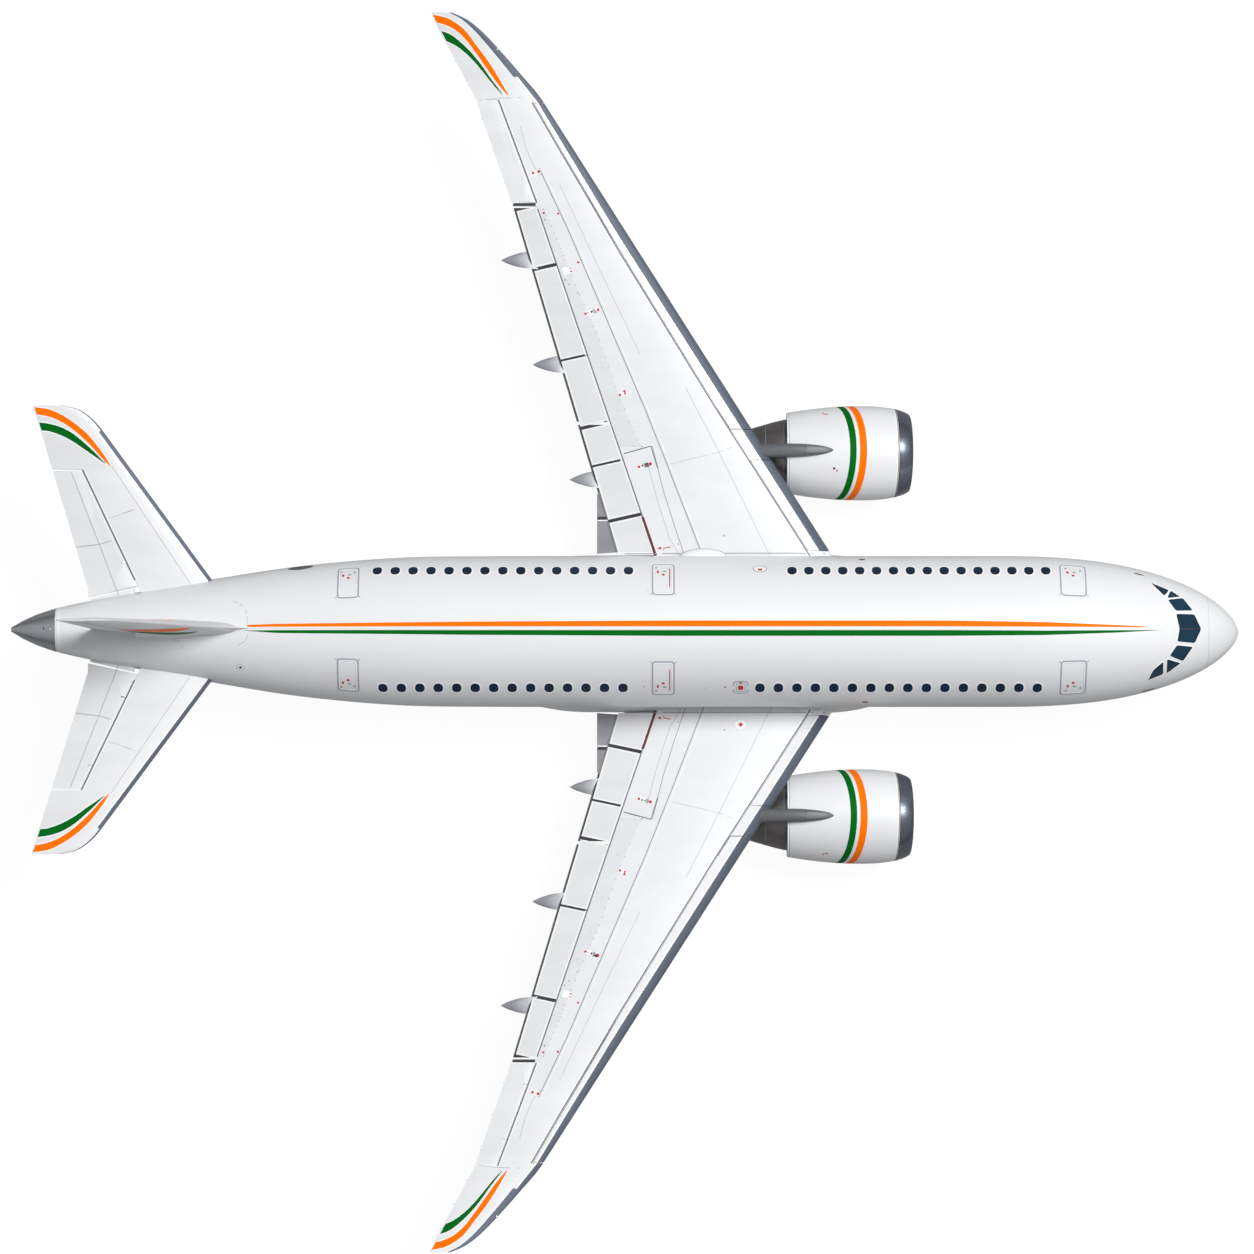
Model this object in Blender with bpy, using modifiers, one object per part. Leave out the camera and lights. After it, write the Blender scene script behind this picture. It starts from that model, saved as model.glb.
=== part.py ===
"""A twin-engine airliner parked on its gear, modelled at half its real size.

Every dimension below is the full-size aircraft's, in metres, and SCALE brings it to the model.
+X runs to the nose, +Y to the left wing tip and +Z up. Heights in the tables are measured from the
fuselage's centre line, and STAND lifts them so that the tyres touch z = 0.
"""

import math

import bmesh
import bpy
from mathutils import Matrix, Vector

# Scale, clearances and the fineness of round shapes
SCALE = 0.5
GAP = 0.0006  # between pieces that touch: 0.3 mm on the model
RUN = 0.014  # between pieces that move past each other: 7 mm on the model
BORE = 1.022  # a bore's radius over its pin's, for round shapes of PIN_SIDES
PIN_SIDES = 16
TURN_SIDES = 24
FINE_BORE = 1.012  # the same for TURN_SIDES
WHEEL_SIDES = 20
LUG_SIDES = 10
LUG_BORE = 1.06  # the same for LUG_SIDES
STAND = 5.2  # height of the fuselage's centre line above the ground

# Fuselage
RADIUS = 2.88
NOSE_X = 23.40
NOSE_START_X = 14.20
NOSE_DROP = 0.85
NOSE_POWER = 2.43
NOSE_ROUND = 0.612
TAIL_X = -23.40
TAIL_RISE = 0.55  # rise of the centre line for each metre that the radius shrinks
TAIL_RADII = (  # station, radius
    (-4.5, 2.88), (-8.6, 2.82), (-12.5, 2.48), (-15.9, 1.95),
    (-18.2, 1.54), (-20.4, 1.12), (-21.72, 0.82), (-22.7, 0.47), (-23.40, 0.07),
)
RADOME_X = 22.15
TAIL_CONE_X = -21.72
HULL_SIDES = 32

# Windshield, outlined in plan: station and half width, front edge then rear edge
WINDSHIELD = (
    (21.95, 0.0), (21.68, 0.62), (21.22, 1.22), (20.68, 1.54), (19.90, 1.90),
    (20.45, 1.32), (20.62, 1.14), (20.92, 0.58), (21.03, 0.0),
)
WINDSHIELD_DEPTH = 0.10

# Belly fairing: station, half width, lowest height
FAIRING = (
    (-5.6, 1.60, -2.55), (-4.4, 2.45, -2.95), (-2.6, 2.93, -3.20), (-0.6, 3.01, -3.32),
    (3.0, 3.02, -3.38), (6.6, 3.02, -3.34), (8.4, 2.98, -3.22), (9.8, 2.60, -2.98), (10.9, 1.70, -2.60),
)
FAIRING_TOP = -0.62

# Wing in plan
ROOT_Y = 2.895
TIP_Y = 23.60
WING_LE = (
    (2.0, 8.51), (20.35, -3.25), (21.3, -4.05), (22.1, -4.76), (22.85, -5.48), (23.35, -6.12),
    (23.60, -6.70),
)
WING_TE = (
    (2.0, -0.108), (16.37, -4.39), (20.35, -5.79), (21.3, -6.29), (22.1, -6.71), (22.85, -7.13),
    (23.60, -7.48),
)
WING_POINTS = 11  # on each skin of a section
WING_THICKNESS = ((2.0, 0.135), (16.4, 0.112), (23.6, 0.09))
WING_Z = -1.55
DIHEDRAL = math.radians(6.0)
TIP_CURVE_Y = 20.35
TIP_CURVE = 0.055
EDGE = 0.018  # thickness of a trailing edge

# Hinge line of the spoilers, their rear edge, and the ends of each panel
SPOILER_HINGE = ((2.65, 1.19), (16.40, -3.51))
SPOILER_REAR = ((2.68, -0.22), (16.24, -4.27))
SPOILER_ENDS = ((3.06, 4.50), (4.62, 6.60), (6.68, 8.02), (8.14, 10.60), (10.68, 14.02), (14.14, 16.28))
SPOILER_SECTION = ((0.0, 0.004), (0.08, 0.055), (0.55, 0.050), (1.0, 0.016))  # share of depth, thickness
SPOILER_SLANT = 0.20  # a panel's ends lean inboard by this much for each metre aft

# Flaps: ends at the nose, and the rear edge of the inner ones
FLAP_SPANS = {"inboard": (3.07, 7.98), "outboard": (8.10, 16.24)}
FLAP_KINK = (5.40, -1.15)
FLAP_NOSE = 0.06  # behind the spoilers' hinge line
FLAP_DROP = 0.38  # hinge line below the wing's lower skin
FLAP_ROOT = ((-1.15, 3.06), (2.00, 3.27))  # slanted inner end in plan, which clears the belly when lowered

# Track fairings under the flaps: span position, rear tip
TRACKS = ((5.90, -2.20), (10.29, -3.62), (14.26, -4.82))
TRACK_LENGTH = 4.3
TRACK_WIDTH = 0.35
TRACK_DEPTH = 0.62
TRACK_PIVOT_RADIUS = 0.32
TRACK_PIN = 0.03

# Ailerons
AILERON_SPAN = (16.46, 20.30)
AILERON_HINGE = ((16.39, -3.52), (20.34, -5.00))
AILERON_LUGS = (17.3, 19.4)

# Slats: span, depth behind the leading edge, guide bars and the slope of their slide
SLAT_SPANS = {"inboard": (3.16, 6.62), "outboard": (7.80, 20.22)}
SLAT_DEPTH = ((3.1, 0.84), (8.6, 0.84), (15.4, 0.69), (20.3, 0.40))
SLAT_BAR = 0.06
SLAT_BAR_LENGTH = 0.75
SLAT_SLOPE = math.radians(5.0)

# Horizontal stabilizer and elevator
STAB_LE = ((0.6, -14.82), (7.61, -19.96), (8.10, -20.42), (8.40, -20.90), (8.53, -21.45))
STAB_TE = ((0.6, -20.215), (8.53, -22.58))
STAB_THICKNESS = ((0.6, 0.105), (8.53, 0.09))
STAB_Z = 0.92
STAB_DIHEDRAL = math.radians(6.0)
ELEVATOR_HINGE = ((1.458, -18.58), (6.08, -20.77))
ELEVATOR_SPAN = (1.66, 6.05)
ELEVATOR_LUGS = (2.6, 5.2)

# Fin and rudder: spans here are heights
FIN_LE = ((1.4, -13.90), (2.95, -15.05), (8.60, -18.88), (9.00, -19.30), (9.20, -19.95))
FIN_TE = ((1.4, -20.18), (9.20, -21.20))
FIN_THICKNESS = ((1.4, 0.10), (9.2, 0.09))
RUDDER_HINGE = ((2.20, -18.62), (9.20, -20.42))
RUDDER_SPAN = (2.36, 8.35)
RUDDER_LUGS = (3.3, 5.4, 7.5)
DORSAL = (  # station, half width, height
    (-14.25, 0.04, 2.62), (-15.0, 0.20, 3.02), (-16.2, 0.34, 3.75), (-17.2, 0.30, 3.60), (-18.0, 0.20, 3.2),
)

# Hinge plates and pins of the ailerons, elevators and rudder
LUG_PLATE = 0.05
LUG_PIN = 0.022
LUG_PIN_REACH = 0.09

# Engines
ENGINE_Y = 7.00
ENGINE_Z = -2.60
COWL_OUTER = (  # station, radius
    (6.15, 1.555), (6.60, 1.63), (7.20, 1.71), (7.90, 1.78), (8.70, 1.815), (9.40, 1.81), (9.90, 1.77),
    (10.30, 1.705),
)
COWL_INNER = ((10.30, 1.43), (9.90, 1.415), (9.65, 1.475), (8.90, 1.475), (7.90, 1.52), (6.15, 1.515))
LIP = (
    (10.30, 1.705), (10.55, 1.635), (10.74, 1.555), (10.85, 1.475), (10.82, 1.44), (10.62, 1.425),
    (10.30, 1.43),
)
SCARF = 0.087  # lean of the intake's plane, metres for each metre of height
SCARF_FROM_X = 9.7
CORE = (  # station, radius
    (8.86, 0.62), (8.70, 0.86), (7.90, 1.12), (7.00, 1.32), (6.15, 1.31), (5.30, 1.10), (4.62, 0.90),
    (4.60, 0.84), (4.95, 0.80), (5.00, 0.52), (4.60, 0.46), (4.10, 0.26), (3.80, 0.05),
)
FAN_X = 9.28
FAN_RADIUS = 1.452
FAN_HUB = ((10.10, 0.0), (10.00, 0.12), (9.74, 0.31), (9.44, 0.43), (9.06, 0.50), (9.06, 0.0))
FAN_BLADES = 18
FAN_SHAFT = 0.20
BLADE = (  # radius, pitch in degrees, chord, thickness
    (0.38, 32, 0.38, 0.050), (0.75, 45, 0.44, 0.036),
    (1.12, 56, 0.46, 0.026), (FAN_RADIUS, 64, 0.42, 0.018),
)
COWL_SIDES = 28

# Pylon: station, half width, top, bottom
PYLON = (
    (7.98, 0.03, -0.86, -1.30), (7.70, 0.14, -0.72, -1.80), (7.30, 0.22, -0.63, -2.20),
    (6.60, 0.27, -0.60, -2.20), (5.70, 0.28, -0.74, -2.10), (4.90, 0.28, -0.95, -1.98),
    (4.00, 0.26, -1.00, -1.80), (3.00, 0.18, -1.05, -1.66), (2.20, 0.05, -1.10, -1.50),
)

# Landing gear: heights of the legs, and struts measured from a leg's axis as start, end and radius
MAIN_X = 1.10
MAIN_Y = 4.90
MAIN_LEG_TOP = -1.2
MAIN_LEG_FOOT = -3.45
MAIN_LEG_RADIUS = 0.20
MAIN_PISTON_RADIUS = 0.13
MAIN_BRACE = ((0.0, 0.0, -3.05), (0.1, -2.5, -2.1), 0.085)
MAIN_DRAG_STRUT = ((0.0, 0.0, -2.9), (1.3, 0.0, -1.3), 0.07)
MAIN_LINKS = (
    ((-0.1, 0.0, -3.36), (-0.52, 0.0, -3.78), 0.06),
    ((-0.52, 0.0, -3.74), (-0.08, 0.0, -4.22), 0.06),
)
DOOR_ARMS = (
    ((0.0, 0.0, -2.35), (0.0, 0.43, -2.35), 0.05),
    ((0.0, 0.0, -3.3), (0.0, 0.43, -3.3), 0.05),
)
LEG_DOOR = ((-0.52, 0.0, -2.0), (0.55, 0.0, -2.0), (0.42, 0.03, -3.75), (-0.40, 0.03, -3.75))
LEG_DOOR_FACES = (0.40, 0.45)
BEAM_RADIUS = 0.105
HOUSING_RADIUS = 0.15
HOUSING_REACH = 0.20
WHEEL_RADIUS = 0.58
WHEEL_WIDTH = 0.42
WHEEL_TRACK = 0.96
BOGIE_BASE = 1.42
AXLE_RADIUS = 0.085
NOSE_GEAR_X = 17.50
NOSE_WHEEL_RADIUS = 0.50
NOSE_WHEEL_WIDTH = 0.34
NOSE_WHEEL_TRACK = 0.70
NOSE_LEG_FOOT = -3.55
NOSE_LEG_RADIUS = 0.155
NOSE_PISTON_RADIUS = 0.095
NOSE_BRACE_FOOT = 1.1  # behind the leg
NOSE_LINKS = (
    ((-0.1, 0.0, -3.70), (-0.42, 0.0, -3.98), 0.045),
    ((-0.42, 0.0, -3.94), (-0.02, 0.0, -4.36), 0.045),
)
NOSE_AXLE_RADIUS = 0.07
NOSE_HOUSING = 0.14  # its radius, and its reach to each side
NOSE_DOOR_X = (16.3, 18.15)
NOSE_DOOR_TOP = -2.55
NOSE_DOOR_HEIGHT = 0.95
NOSE_DOOR_THICK = 0.05
BAY_HALF_WIDTH = 0.48
BAY_X = (16.2, 18.25)
BAY_ROOF = -1.75

# Flat pads for lifting jacks, and the tow fitting on the nose gear
JACK_PAD = 0.24
JACK_PAD_DEPTH = 0.05
NOSE_JACK_X = 14.0
WING_JACK = (1.6, 8.9)
TOW_FITTING = 0.16

SMOOTH_ANGLE = math.radians(35)  # edges sharper than this stay sharp

# Materials: name, colour, roughness, metal
WHITE = ("white_paint", (0.86, 0.87, 0.88), 0.28, 0.0)
GREY = ("wing_grey", (0.72, 0.73, 0.74), 0.34, 0.0)
METAL = ("polished_metal", (0.40, 0.44, 0.49), 0.22, 0.9)
EXHAUST = ("exhaust_metal", (0.33, 0.29, 0.25), 0.42, 0.85)
TITANIUM = ("fan_titanium", (0.42, 0.43, 0.45), 0.32, 0.8)
GLASS = ("cockpit_glass", (0.03, 0.07, 0.11), 0.08, 0.0)
GEAR = ("gear_paint", (0.66, 0.67, 0.68), 0.4, 0.2)
TYRE = ("tyre", (0.03, 0.03, 0.03), 0.85, 0.0)


# Scene set-up
for old in list(bpy.data.objects):
    bpy.data.objects.remove(old)
PARTS = bpy.data.collections.new("airliner")
CUTTERS = bpy.data.collections.new("cutters")
bpy.context.scene.collection.children.link(PARTS)
bpy.context.scene.collection.children.link(CUTTERS)


def material(look):
    """The Principled material of this name, made once."""
    name, colour, roughness, metallic = look
    found = bpy.data.materials.get(name)
    if found:
        return found
    made = bpy.data.materials.new(name)
    made.use_nodes = True
    shader = made.node_tree.nodes["Principled BSDF"]
    shader.inputs["Base Color"].default_value = (*colour, 1.0)
    shader.inputs["Roughness"].default_value = roughness
    shader.inputs["Metallic"].default_value = metallic
    return made


def table(points, at):
    """Straight-line reading of a table of (position, value) pairs, held level past its ends."""
    rows = sorted(points)
    if at <= rows[0][0]:
        return rows[0][1]
    for (a, va), (b, vb) in zip(rows, rows[1:]):
        if at <= b:
            return va + (vb - va) * (at - a) / (b - a)
    return rows[-1][1]


def line(ends, at):
    """Reading of the straight line through two (position, value) ends, also past them."""
    (a, va), (b, vb) = ends
    return va + (vb - va) * (at - a) / (b - a)


def smooth_table(points, at):
    """Reading of a table with a smooth curve through its points (Hermite, with level-safe slopes)."""
    rows = sorted(points)
    if at <= rows[0][0]:
        return rows[0][1]
    if at >= rows[-1][0]:
        return rows[-1][1]
    i = max(k for k in range(len(rows) - 1) if rows[k][0] <= at)

    def slope(k):
        before = rows[max(k - 1, 0)]
        after = rows[min(k + 1, len(rows) - 1)]
        return (after[1] - before[1]) / (after[0] - before[0])

    (a, va), (b, vb) = rows[i], rows[i + 1]
    h = b - a
    t = (at - a) / h
    return (
        va * (1 + 2 * t) * (1 - t) ** 2
        + vb * t * t * (3 - 2 * t)
        + h * t * (1 - t) * (slope(i) * (1 - t) - slope(i + 1) * t)
    )


def to_model(point):
    """A full-size point, measured from the fuselage's centre line, in the model's metres."""
    return Vector((point[0], point[1], point[2] + STAND)) * SCALE


def add_object(name, mesh, look, helper=False):
    """An object around this mesh: a part, or a helper that is left out of the build."""
    obj = bpy.data.objects.new(name, mesh)
    (CUTTERS if helper else PARTS).objects.link(obj)
    if helper:
        obj.hide_render = True
        obj.display_type = "WIRE"
    else:
        mesh.materials.clear()
        mesh.materials.append(material(look))
    return obj


def mesh_of(bm, name):
    """The mesh of a bmesh with its faces pointing out."""
    bmesh.ops.recalc_face_normals(bm, faces=bm.faces)
    if bm.calc_volume(signed=True) < 0:
        bmesh.ops.reverse_faces(bm, faces=bm.faces)
    mesh = bpy.data.meshes.new(name)
    bm.to_mesh(mesh)
    bm.free()
    return mesh


def loft(name, rings, split=None):
    """A closed skin over rings of full-size points that all have as many points.

    Twisted faces are split into triangles, because a Boolean needs them flat.
    """
    bm = bmesh.new()
    rows = [[bm.verts.new(to_model(p)) for p in ring] for ring in rings]
    for a, b in zip(rows, rows[1:]):
        for i in range(len(a)):
            j = (i + 1) % len(a)
            bm.faces.new((a[i], a[j], b[j], b[i]))
    bm.faces.new(rows[0])
    bm.faces.new(rows[-1][::-1])
    if split:
        bmesh.ops.triangulate(bm, faces=bm.faces, quad_method=split)
    return add_object(name, mesh_of(bm, name), None, True)


def prism(name, outline, low, high):
    """A cutter: an outline of (x, y) points extruded between two heights."""
    return loft(name, [[(x, y, z) for x, y in outline] for z in (low, high)])


def box(name, low, high):
    """A cutter: a box between two full-size corners."""
    bm = bmesh.new()
    bmesh.ops.create_cube(bm, size=1.0)
    a, b = to_model(low), to_model(high)
    for v in bm.verts:
        v.co = Vector(a[k] + (b[k] - a[k]) * (v.co[k] + 0.5) for k in range(3))
    return add_object(name, mesh_of(bm, name), None, True)


def rod(name, start, end, radius, sides=PIN_SIDES):
    """A cylinder between two full-size points."""
    a, b = to_model(start), to_model(end)
    bm = bmesh.new()
    bmesh.ops.create_cone(
        bm, cap_ends=True, segments=sides, radius1=radius * SCALE, radius2=radius * SCALE,
        depth=(b - a).length,
    )
    turn = (b - a).to_track_quat("Z", "Y").to_matrix().to_4x4()
    bmesh.ops.transform(bm, matrix=Matrix.Translation((a + b) / 2) @ turn, verts=bm.verts)
    return add_object(name, mesh_of(bm, name), None, True)


def strut(name, axis, shape):
    """A thin rod of a leg, given from the leg's (x, y) axis."""
    start, end, radius = shape
    foot = Vector((*axis, 0.0))
    return rod(name, foot + Vector(start), foot + Vector(end), radius, sides=LUG_SIDES)


def turned(name, profile, axis_y, axis_z, sides, closed=False, along="X"):
    """A profile of (station, radius) turned about a line along X or Y by a Screw modifier.

    A closed profile is a loop that stays off the axis; an open one starts and ends on it.
    """
    bm = bmesh.new()
    points = [bm.verts.new((r * SCALE, 0.0, s * SCALE)) for s, r in profile]
    pairs = list(zip(points, points[1:])) + ([(points[-1], points[0])] if closed else [])
    for pair in pairs:
        bm.edges.new(pair)
    mesh = bpy.data.meshes.new(name)
    bm.to_mesh(mesh)
    bm.free()
    blank = bpy.data.objects.new(name + "_blank", mesh)
    CUTTERS.objects.link(blank)
    screw = blank.modifiers.new("turn", "SCREW")
    screw.steps = screw.render_steps = sides
    screw.use_merge_vertices = True
    screw.merge_threshold = 0.00005
    baked = baked_mesh(blank)
    bpy.data.objects.remove(blank)
    if along == "X":  # local +Z becomes +X
        matrix = Matrix(((0, 0, 1), (0, 1, 0), (-1, 0, 0))).to_4x4()
        place = Vector((0, axis_y, axis_z + STAND)) * SCALE
    else:  # local +Z becomes +Y; axis_y is then the station along X
        matrix = Matrix(((1, 0, 0), (0, 0, 1), (0, -1, 0))).to_4x4()
        place = Vector((axis_y, 0, axis_z + STAND)) * SCALE
    baked.transform(Matrix.Translation(place) @ matrix)
    bm = bmesh.new()
    bm.from_mesh(baked)
    bmesh.ops.remove_doubles(bm, verts=bm.verts, dist=0.00002)
    baked.user_clear()
    return add_object(name, mesh_of(bm, name), None, True)


def baked_mesh(obj):
    """A copy of the object's mesh with its modifiers applied."""
    bpy.context.view_layer.update()
    graph = bpy.context.evaluated_depsgraph_get()
    return bpy.data.meshes.new_from_object(obj.evaluated_get(graph))


def tidied(mesh):
    """The same mesh with points that all but coincide merged."""
    bm = bmesh.new()
    bm.from_mesh(mesh)
    bmesh.ops.remove_doubles(bm, verts=bm.verts, dist=0.00001)
    bmesh.ops.dissolve_degenerate(bm, edges=bm.edges, dist=0.00001)
    bm.to_mesh(mesh)
    bm.free()
    return mesh


def combine(base, others, operation):
    """base joined with, cut by, or limited to each of the others, one Boolean at a time."""
    for other in others:
        step = base.modifiers.new(operation.lower(), "BOOLEAN")
        step.operation = operation
        step.solver = "EXACT"
        step.object = other
        result = baked_mesh(base)
        base.modifiers.clear()
        base.data = tidied(result)
    return base


def cut(base, *others):
    return combine(base, others, "DIFFERENCE")


def join(base, *others):
    return combine(base, others, "UNION")


def keep_inside(base, *others):
    return combine(base, others, "INTERSECT")


def finish(obj, name, look, axis_point=None):
    """Turns a helper into a named part, with its origin on its joint's axis if it has one."""
    mesh = obj.data.copy()
    bpy.data.objects.remove(obj)
    part = add_object(name, mesh, look)
    mesh.name = name
    if axis_point is not None:
        origin = to_model(axis_point)
        mesh.transform(Matrix.Translation(-origin))
        part.location = origin
    mesh.shade_smooth()
    mesh.set_sharp_from_angle(angle=SMOOTH_ANGLE)
    return part


def mirrored(part, name):
    """The right-hand twin of a left-hand part."""
    mesh = part.data.copy()
    mesh.transform(Matrix.Scale(-1, 4, (0, 1, 0)))
    mesh.flip_normals()
    twin = bpy.data.objects.new(name, mesh)
    PARTS.objects.link(twin)
    twin.location = (part.location.x, -part.location.y, part.location.z)
    return twin


def copy_of(obj, name):
    """A helper with its own copy of another's mesh."""
    return add_object(name, obj.data.copy(), None, True)


def both_sides(part):
    """Makes the right-hand twin of a part whose name ends in _left."""
    return mirrored(part, part.name.replace("_left", "_right"))


def widened(outline, grow):
    """The outline moved outwards by this much all round."""
    area = sum(a[0] * b[1] - b[0] * a[1] for a, b in zip(outline, outline[1:] + outline[:1]))
    turn = math.copysign(1.0, area)
    moved = []
    for k, here in enumerate(outline):
        before, after = Vector(outline[k - 1]), Vector(outline[(k + 1) % len(outline)])
        a = (Vector(here) - before).normalized()
        b = (after - Vector(here)).normalized()
        normal_a = Vector((a.y, -a.x)) * turn
        normal_b = Vector((b.y, -b.x)) * turn
        mitre = (normal_a + normal_b) / (1 + normal_a.dot(normal_b))
        moved.append(tuple(Vector(here) + mitre * grow))
    return moved


# Fuselage shape
def hull_radius(x):
    if x > NOSE_START_X:
        share = min((x - NOSE_START_X) / (NOSE_X - NOSE_START_X), 1.0)
        return RADIUS * (1 - share ** NOSE_POWER) ** NOSE_ROUND
    if x < TAIL_RADII[0][0]:
        return smooth_table(TAIL_RADII, x)
    return RADIUS


def hull_centre(x):
    """Height of the section's centre."""
    if x > NOSE_START_X:
        return -NOSE_DROP * (1 - hull_radius(x) / RADIUS)
    return TAIL_RISE * (RADIUS - hull_radius(x)) if x < 0 else 0.0


def hull_ring(x, grow=0.0):
    radius = hull_radius(x) + grow
    centre = hull_centre(x)
    return [
        (x, radius * math.sin(a), centre + radius * math.cos(a))
        for a in (2 * math.pi * k / HULL_SIDES for k in range(HULL_SIDES))
    ]


def hull_stations(start, end):
    """Stations that lie closer together where the hull tapers."""
    nose = [NOSE_X - (NOSE_X - NOSE_START_X) * (1 - math.sin(math.pi / 2 * k / 10)) for k in range(11)]
    tail = [-4.5 - 1.72 * k for k in range(11)]
    middle = [-1.0, 5.0, 10.0]
    inside = sorted(x for x in tail + middle + nose if start + 0.12 < x < end - 0.12)
    return [start, *inside, end]


def hull(name, start, end, grow=0.0):
    return loft(name, [hull_ring(x, grow) for x in hull_stations(start, end)])


# Thin lifting surfaces
class Foil:
    """A lifting surface: its edges and thickness along a span, and how it stands in space."""

    def __init__(self, leading, trailing, thickness, place):
        self.leading = leading
        self.trailing = trailing
        self.thickness = thickness
        self.place = place  # (x, span, height off the mid surface) to a point

    def le(self, s):
        return table(self.leading, s)

    def te(self, s):
        return table(self.trailing, s)

    def half(self, x, s):
        """Half the thickness at a station, from the usual symmetric section."""
        front, back = self.le(s), self.te(s)
        share = min(max((front - x) / (front - back), 0.0), 1.0)
        shape = 0.2969 * math.sqrt(share) - 0.126 * share - 0.3516 * share ** 2
        shape += 0.2843 * share ** 3 - 0.1036 * share ** 4
        return 5 * table(self.thickness, s) * shape * (front - back) + EDGE / 2 * share

    def ring(self, s, grow=0.0, points=9):
        """The whole section, from the rear edge over the top to the rear edge again."""
        front, back = self.le(s) + grow, self.te(s) - grow
        turns = [math.pi * k / points for k in range(points, 0, -1)]
        stations = [front - (front - back) * (1 - math.cos(a)) / 2 for a in turns]
        upper = [self.place(x, s, self.half(x, s) + grow) for x in stations]
        lower = [self.place(x, s, -self.half(x, s) - grow) for x in reversed(stations)]
        return [*upper, self.place(front, s, 0.0), *lower]

    def body(self, name, spans, grow=0.0, points=9):
        ends = (spans[0] - grow, *spans[1:-1], spans[-1] + grow)
        return loft(name, [self.ring(s, grow, points) for s in ends], split="FIXED")

    def flapper(self, name, span, hinge, slant=0.0):
        """A hinged surface: a round nose about the hinge line, and the section behind it."""
        rings = []
        for s in span:
            nose = line(hinge, s)
            end = s - slant * (nose - self.te(s))
            radius = self.half(nose, s)
            back = self.te(end)
            rear = [(back, end), ((back + nose) / 2, (end + s) / 2)]
            arc = [math.radians(a) for a in range(90, -91, -30)]
            top = [self.place(x, at, self.half(x, s)) for x, at in rear]
            low = [self.place(x, at, -self.half(x, s)) for x, at in reversed(rear)]
            middle = [self.place(nose + radius * math.cos(a), s, radius * math.sin(a)) for a in arc]
            rings.append([*top, *middle, *low])
        return loft(name, rings)


def wing_mid(y):
    """Height of the wing's mid surface."""
    rise = WING_Z + (y - ROOT_Y) * math.tan(DIHEDRAL)
    return rise + TIP_CURVE * max(y - TIP_CURVE_Y, 0.0) ** 2


WING = Foil(WING_LE, WING_TE, WING_THICKNESS, lambda x, s, h: (x, s, wing_mid(s) + h))
STAB = Foil(
    STAB_LE, STAB_TE, STAB_THICKNESS,
    lambda x, s, h: (x, s, STAB_Z + (s - 1.5) * math.tan(STAB_DIHEDRAL) + h),
)
FIN = Foil(FIN_LE, FIN_TE, FIN_THICKNESS, lambda x, s, h: (x, h, s))
WING_SPANS = (ROOT_Y, 6.0, 10.0, 13.5, 16.37, 18.4, 20.35, 21.3, 22.1, 22.85, 23.35, TIP_Y)


def hinge_bay(foil, name, span, hinge, wall):
    """A cutter that opens a bay for a hinged surface, from its wall back past the rear edge."""
    rings = []
    for s in span:
        nose = line(hinge, s)
        front = nose + wall(foil.half(nose, s))
        back = foil.te(s) - 1.0
        corners = ((front, 2.0), (front, -2.0), (back, -2.0), (back, 2.0))
        rings.append([foil.place(x, s, h) for x, h in corners])
    return loft(name, rings)


def hinge_point(foil, hinge, s):
    return foil.place(line(hinge, s), s, 0.0)


def hinge_direction(foil, hinge):
    a, b = (Vector(hinge_point(foil, hinge, s)) for s, _ in hinge)
    return (b - a).normalized()


def add_lugs(foil, hinge, places, fixed, moving):
    """Hinge plates with pins on the fixed piece, and notches and bores for them in the moving piece."""
    run = hinge_direction(foil, hinge)
    plates, bores = [], []
    for k, s in enumerate(places):
        centre = Vector(hinge_point(foil, hinge, s))
        radius = foil.half(line(hinge, s), s)
        off_skin = Vector(foil.place(0, 0, 1)) - Vector(foil.place(0, 0, 0))
        ahead = run.cross(off_skin).normalized()
        ahead = ahead if ahead.x > 0 else -ahead
        up = ahead.cross(run)
        half = run * LUG_PLATE / 2
        side = run * LUG_PIN_REACH
        reach = radius + 0.10
        outline = ((-0.03, 0.03), (reach, 0.04), (reach, -0.04), (-0.03, -0.03))
        corners = [centre + ahead * a + up * u for a, u in outline]
        plates.append(loft(f"lug_{k}", [[c - half for c in corners], [c + half for c in corners]]))
        plates.append(rod(f"lug_pin_{k}", centre - side, centre + side, LUG_PIN, sides=LUG_SIDES))
        notch = radius + RUN * 2
        bores.append(rod(f"notch_{k}", centre - half * 1.6, centre + half * 1.6, notch, sides=LUG_SIDES + 2))
        side = side * 1.1
        bores.append(rod(f"bore_{k}", centre - side, centre + side, LUG_PIN * LUG_BORE, sides=LUG_SIDES))
    cut(moving, *bores)
    join(fixed, *plates)


# Airframe
def build_fuselage():
    body = hull("fuselage", TAIL_CONE_X, RADOME_X)
    outline = [*WINDSHIELD, *[(x, -y) for x, y in reversed(WINDSHIELD[1:-1])]]
    inner = hull("hull_inside", 18.5, 22.6, -WINDSHIELD_DEPTH)
    pane = keep_inside(hull("pane", 19.0, RADOME_X), prism("pane_outline", outline, 0.2, 4.0))
    cut(pane, inner)
    recess = cut(
        prism("pane_recess", widened(outline, GAP), 0.0, 4.0),
        hull("hull_under_pane", 18.5, 22.6, -WINDSHIELD_DEPTH - GAP),
    )
    cut(body, recess)
    half = JACK_PAD / 2
    foot = -RADIUS - JACK_PAD_DEPTH
    pad = box("nose_jack_pad", (NOSE_JACK_X - half, -half, foot), (NOSE_JACK_X + half, half, foot + 0.2))
    join(body, pad)
    bay = box("nose_bay", (BAY_X[0], -BAY_HALF_WIDTH, -4.0), (BAY_X[1], BAY_HALF_WIDTH, BAY_ROOF))
    cut(body, bay)
    finish(body, "fuselage", WHITE)
    finish(pane, "windshield", GLASS)
    finish(hull("nose", RADOME_X + GAP, NOSE_X - 0.02), "nose_radome", WHITE)
    finish(hull("cone", TAIL_X, TAIL_CONE_X - GAP), "tail_cone", METAL)


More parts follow.
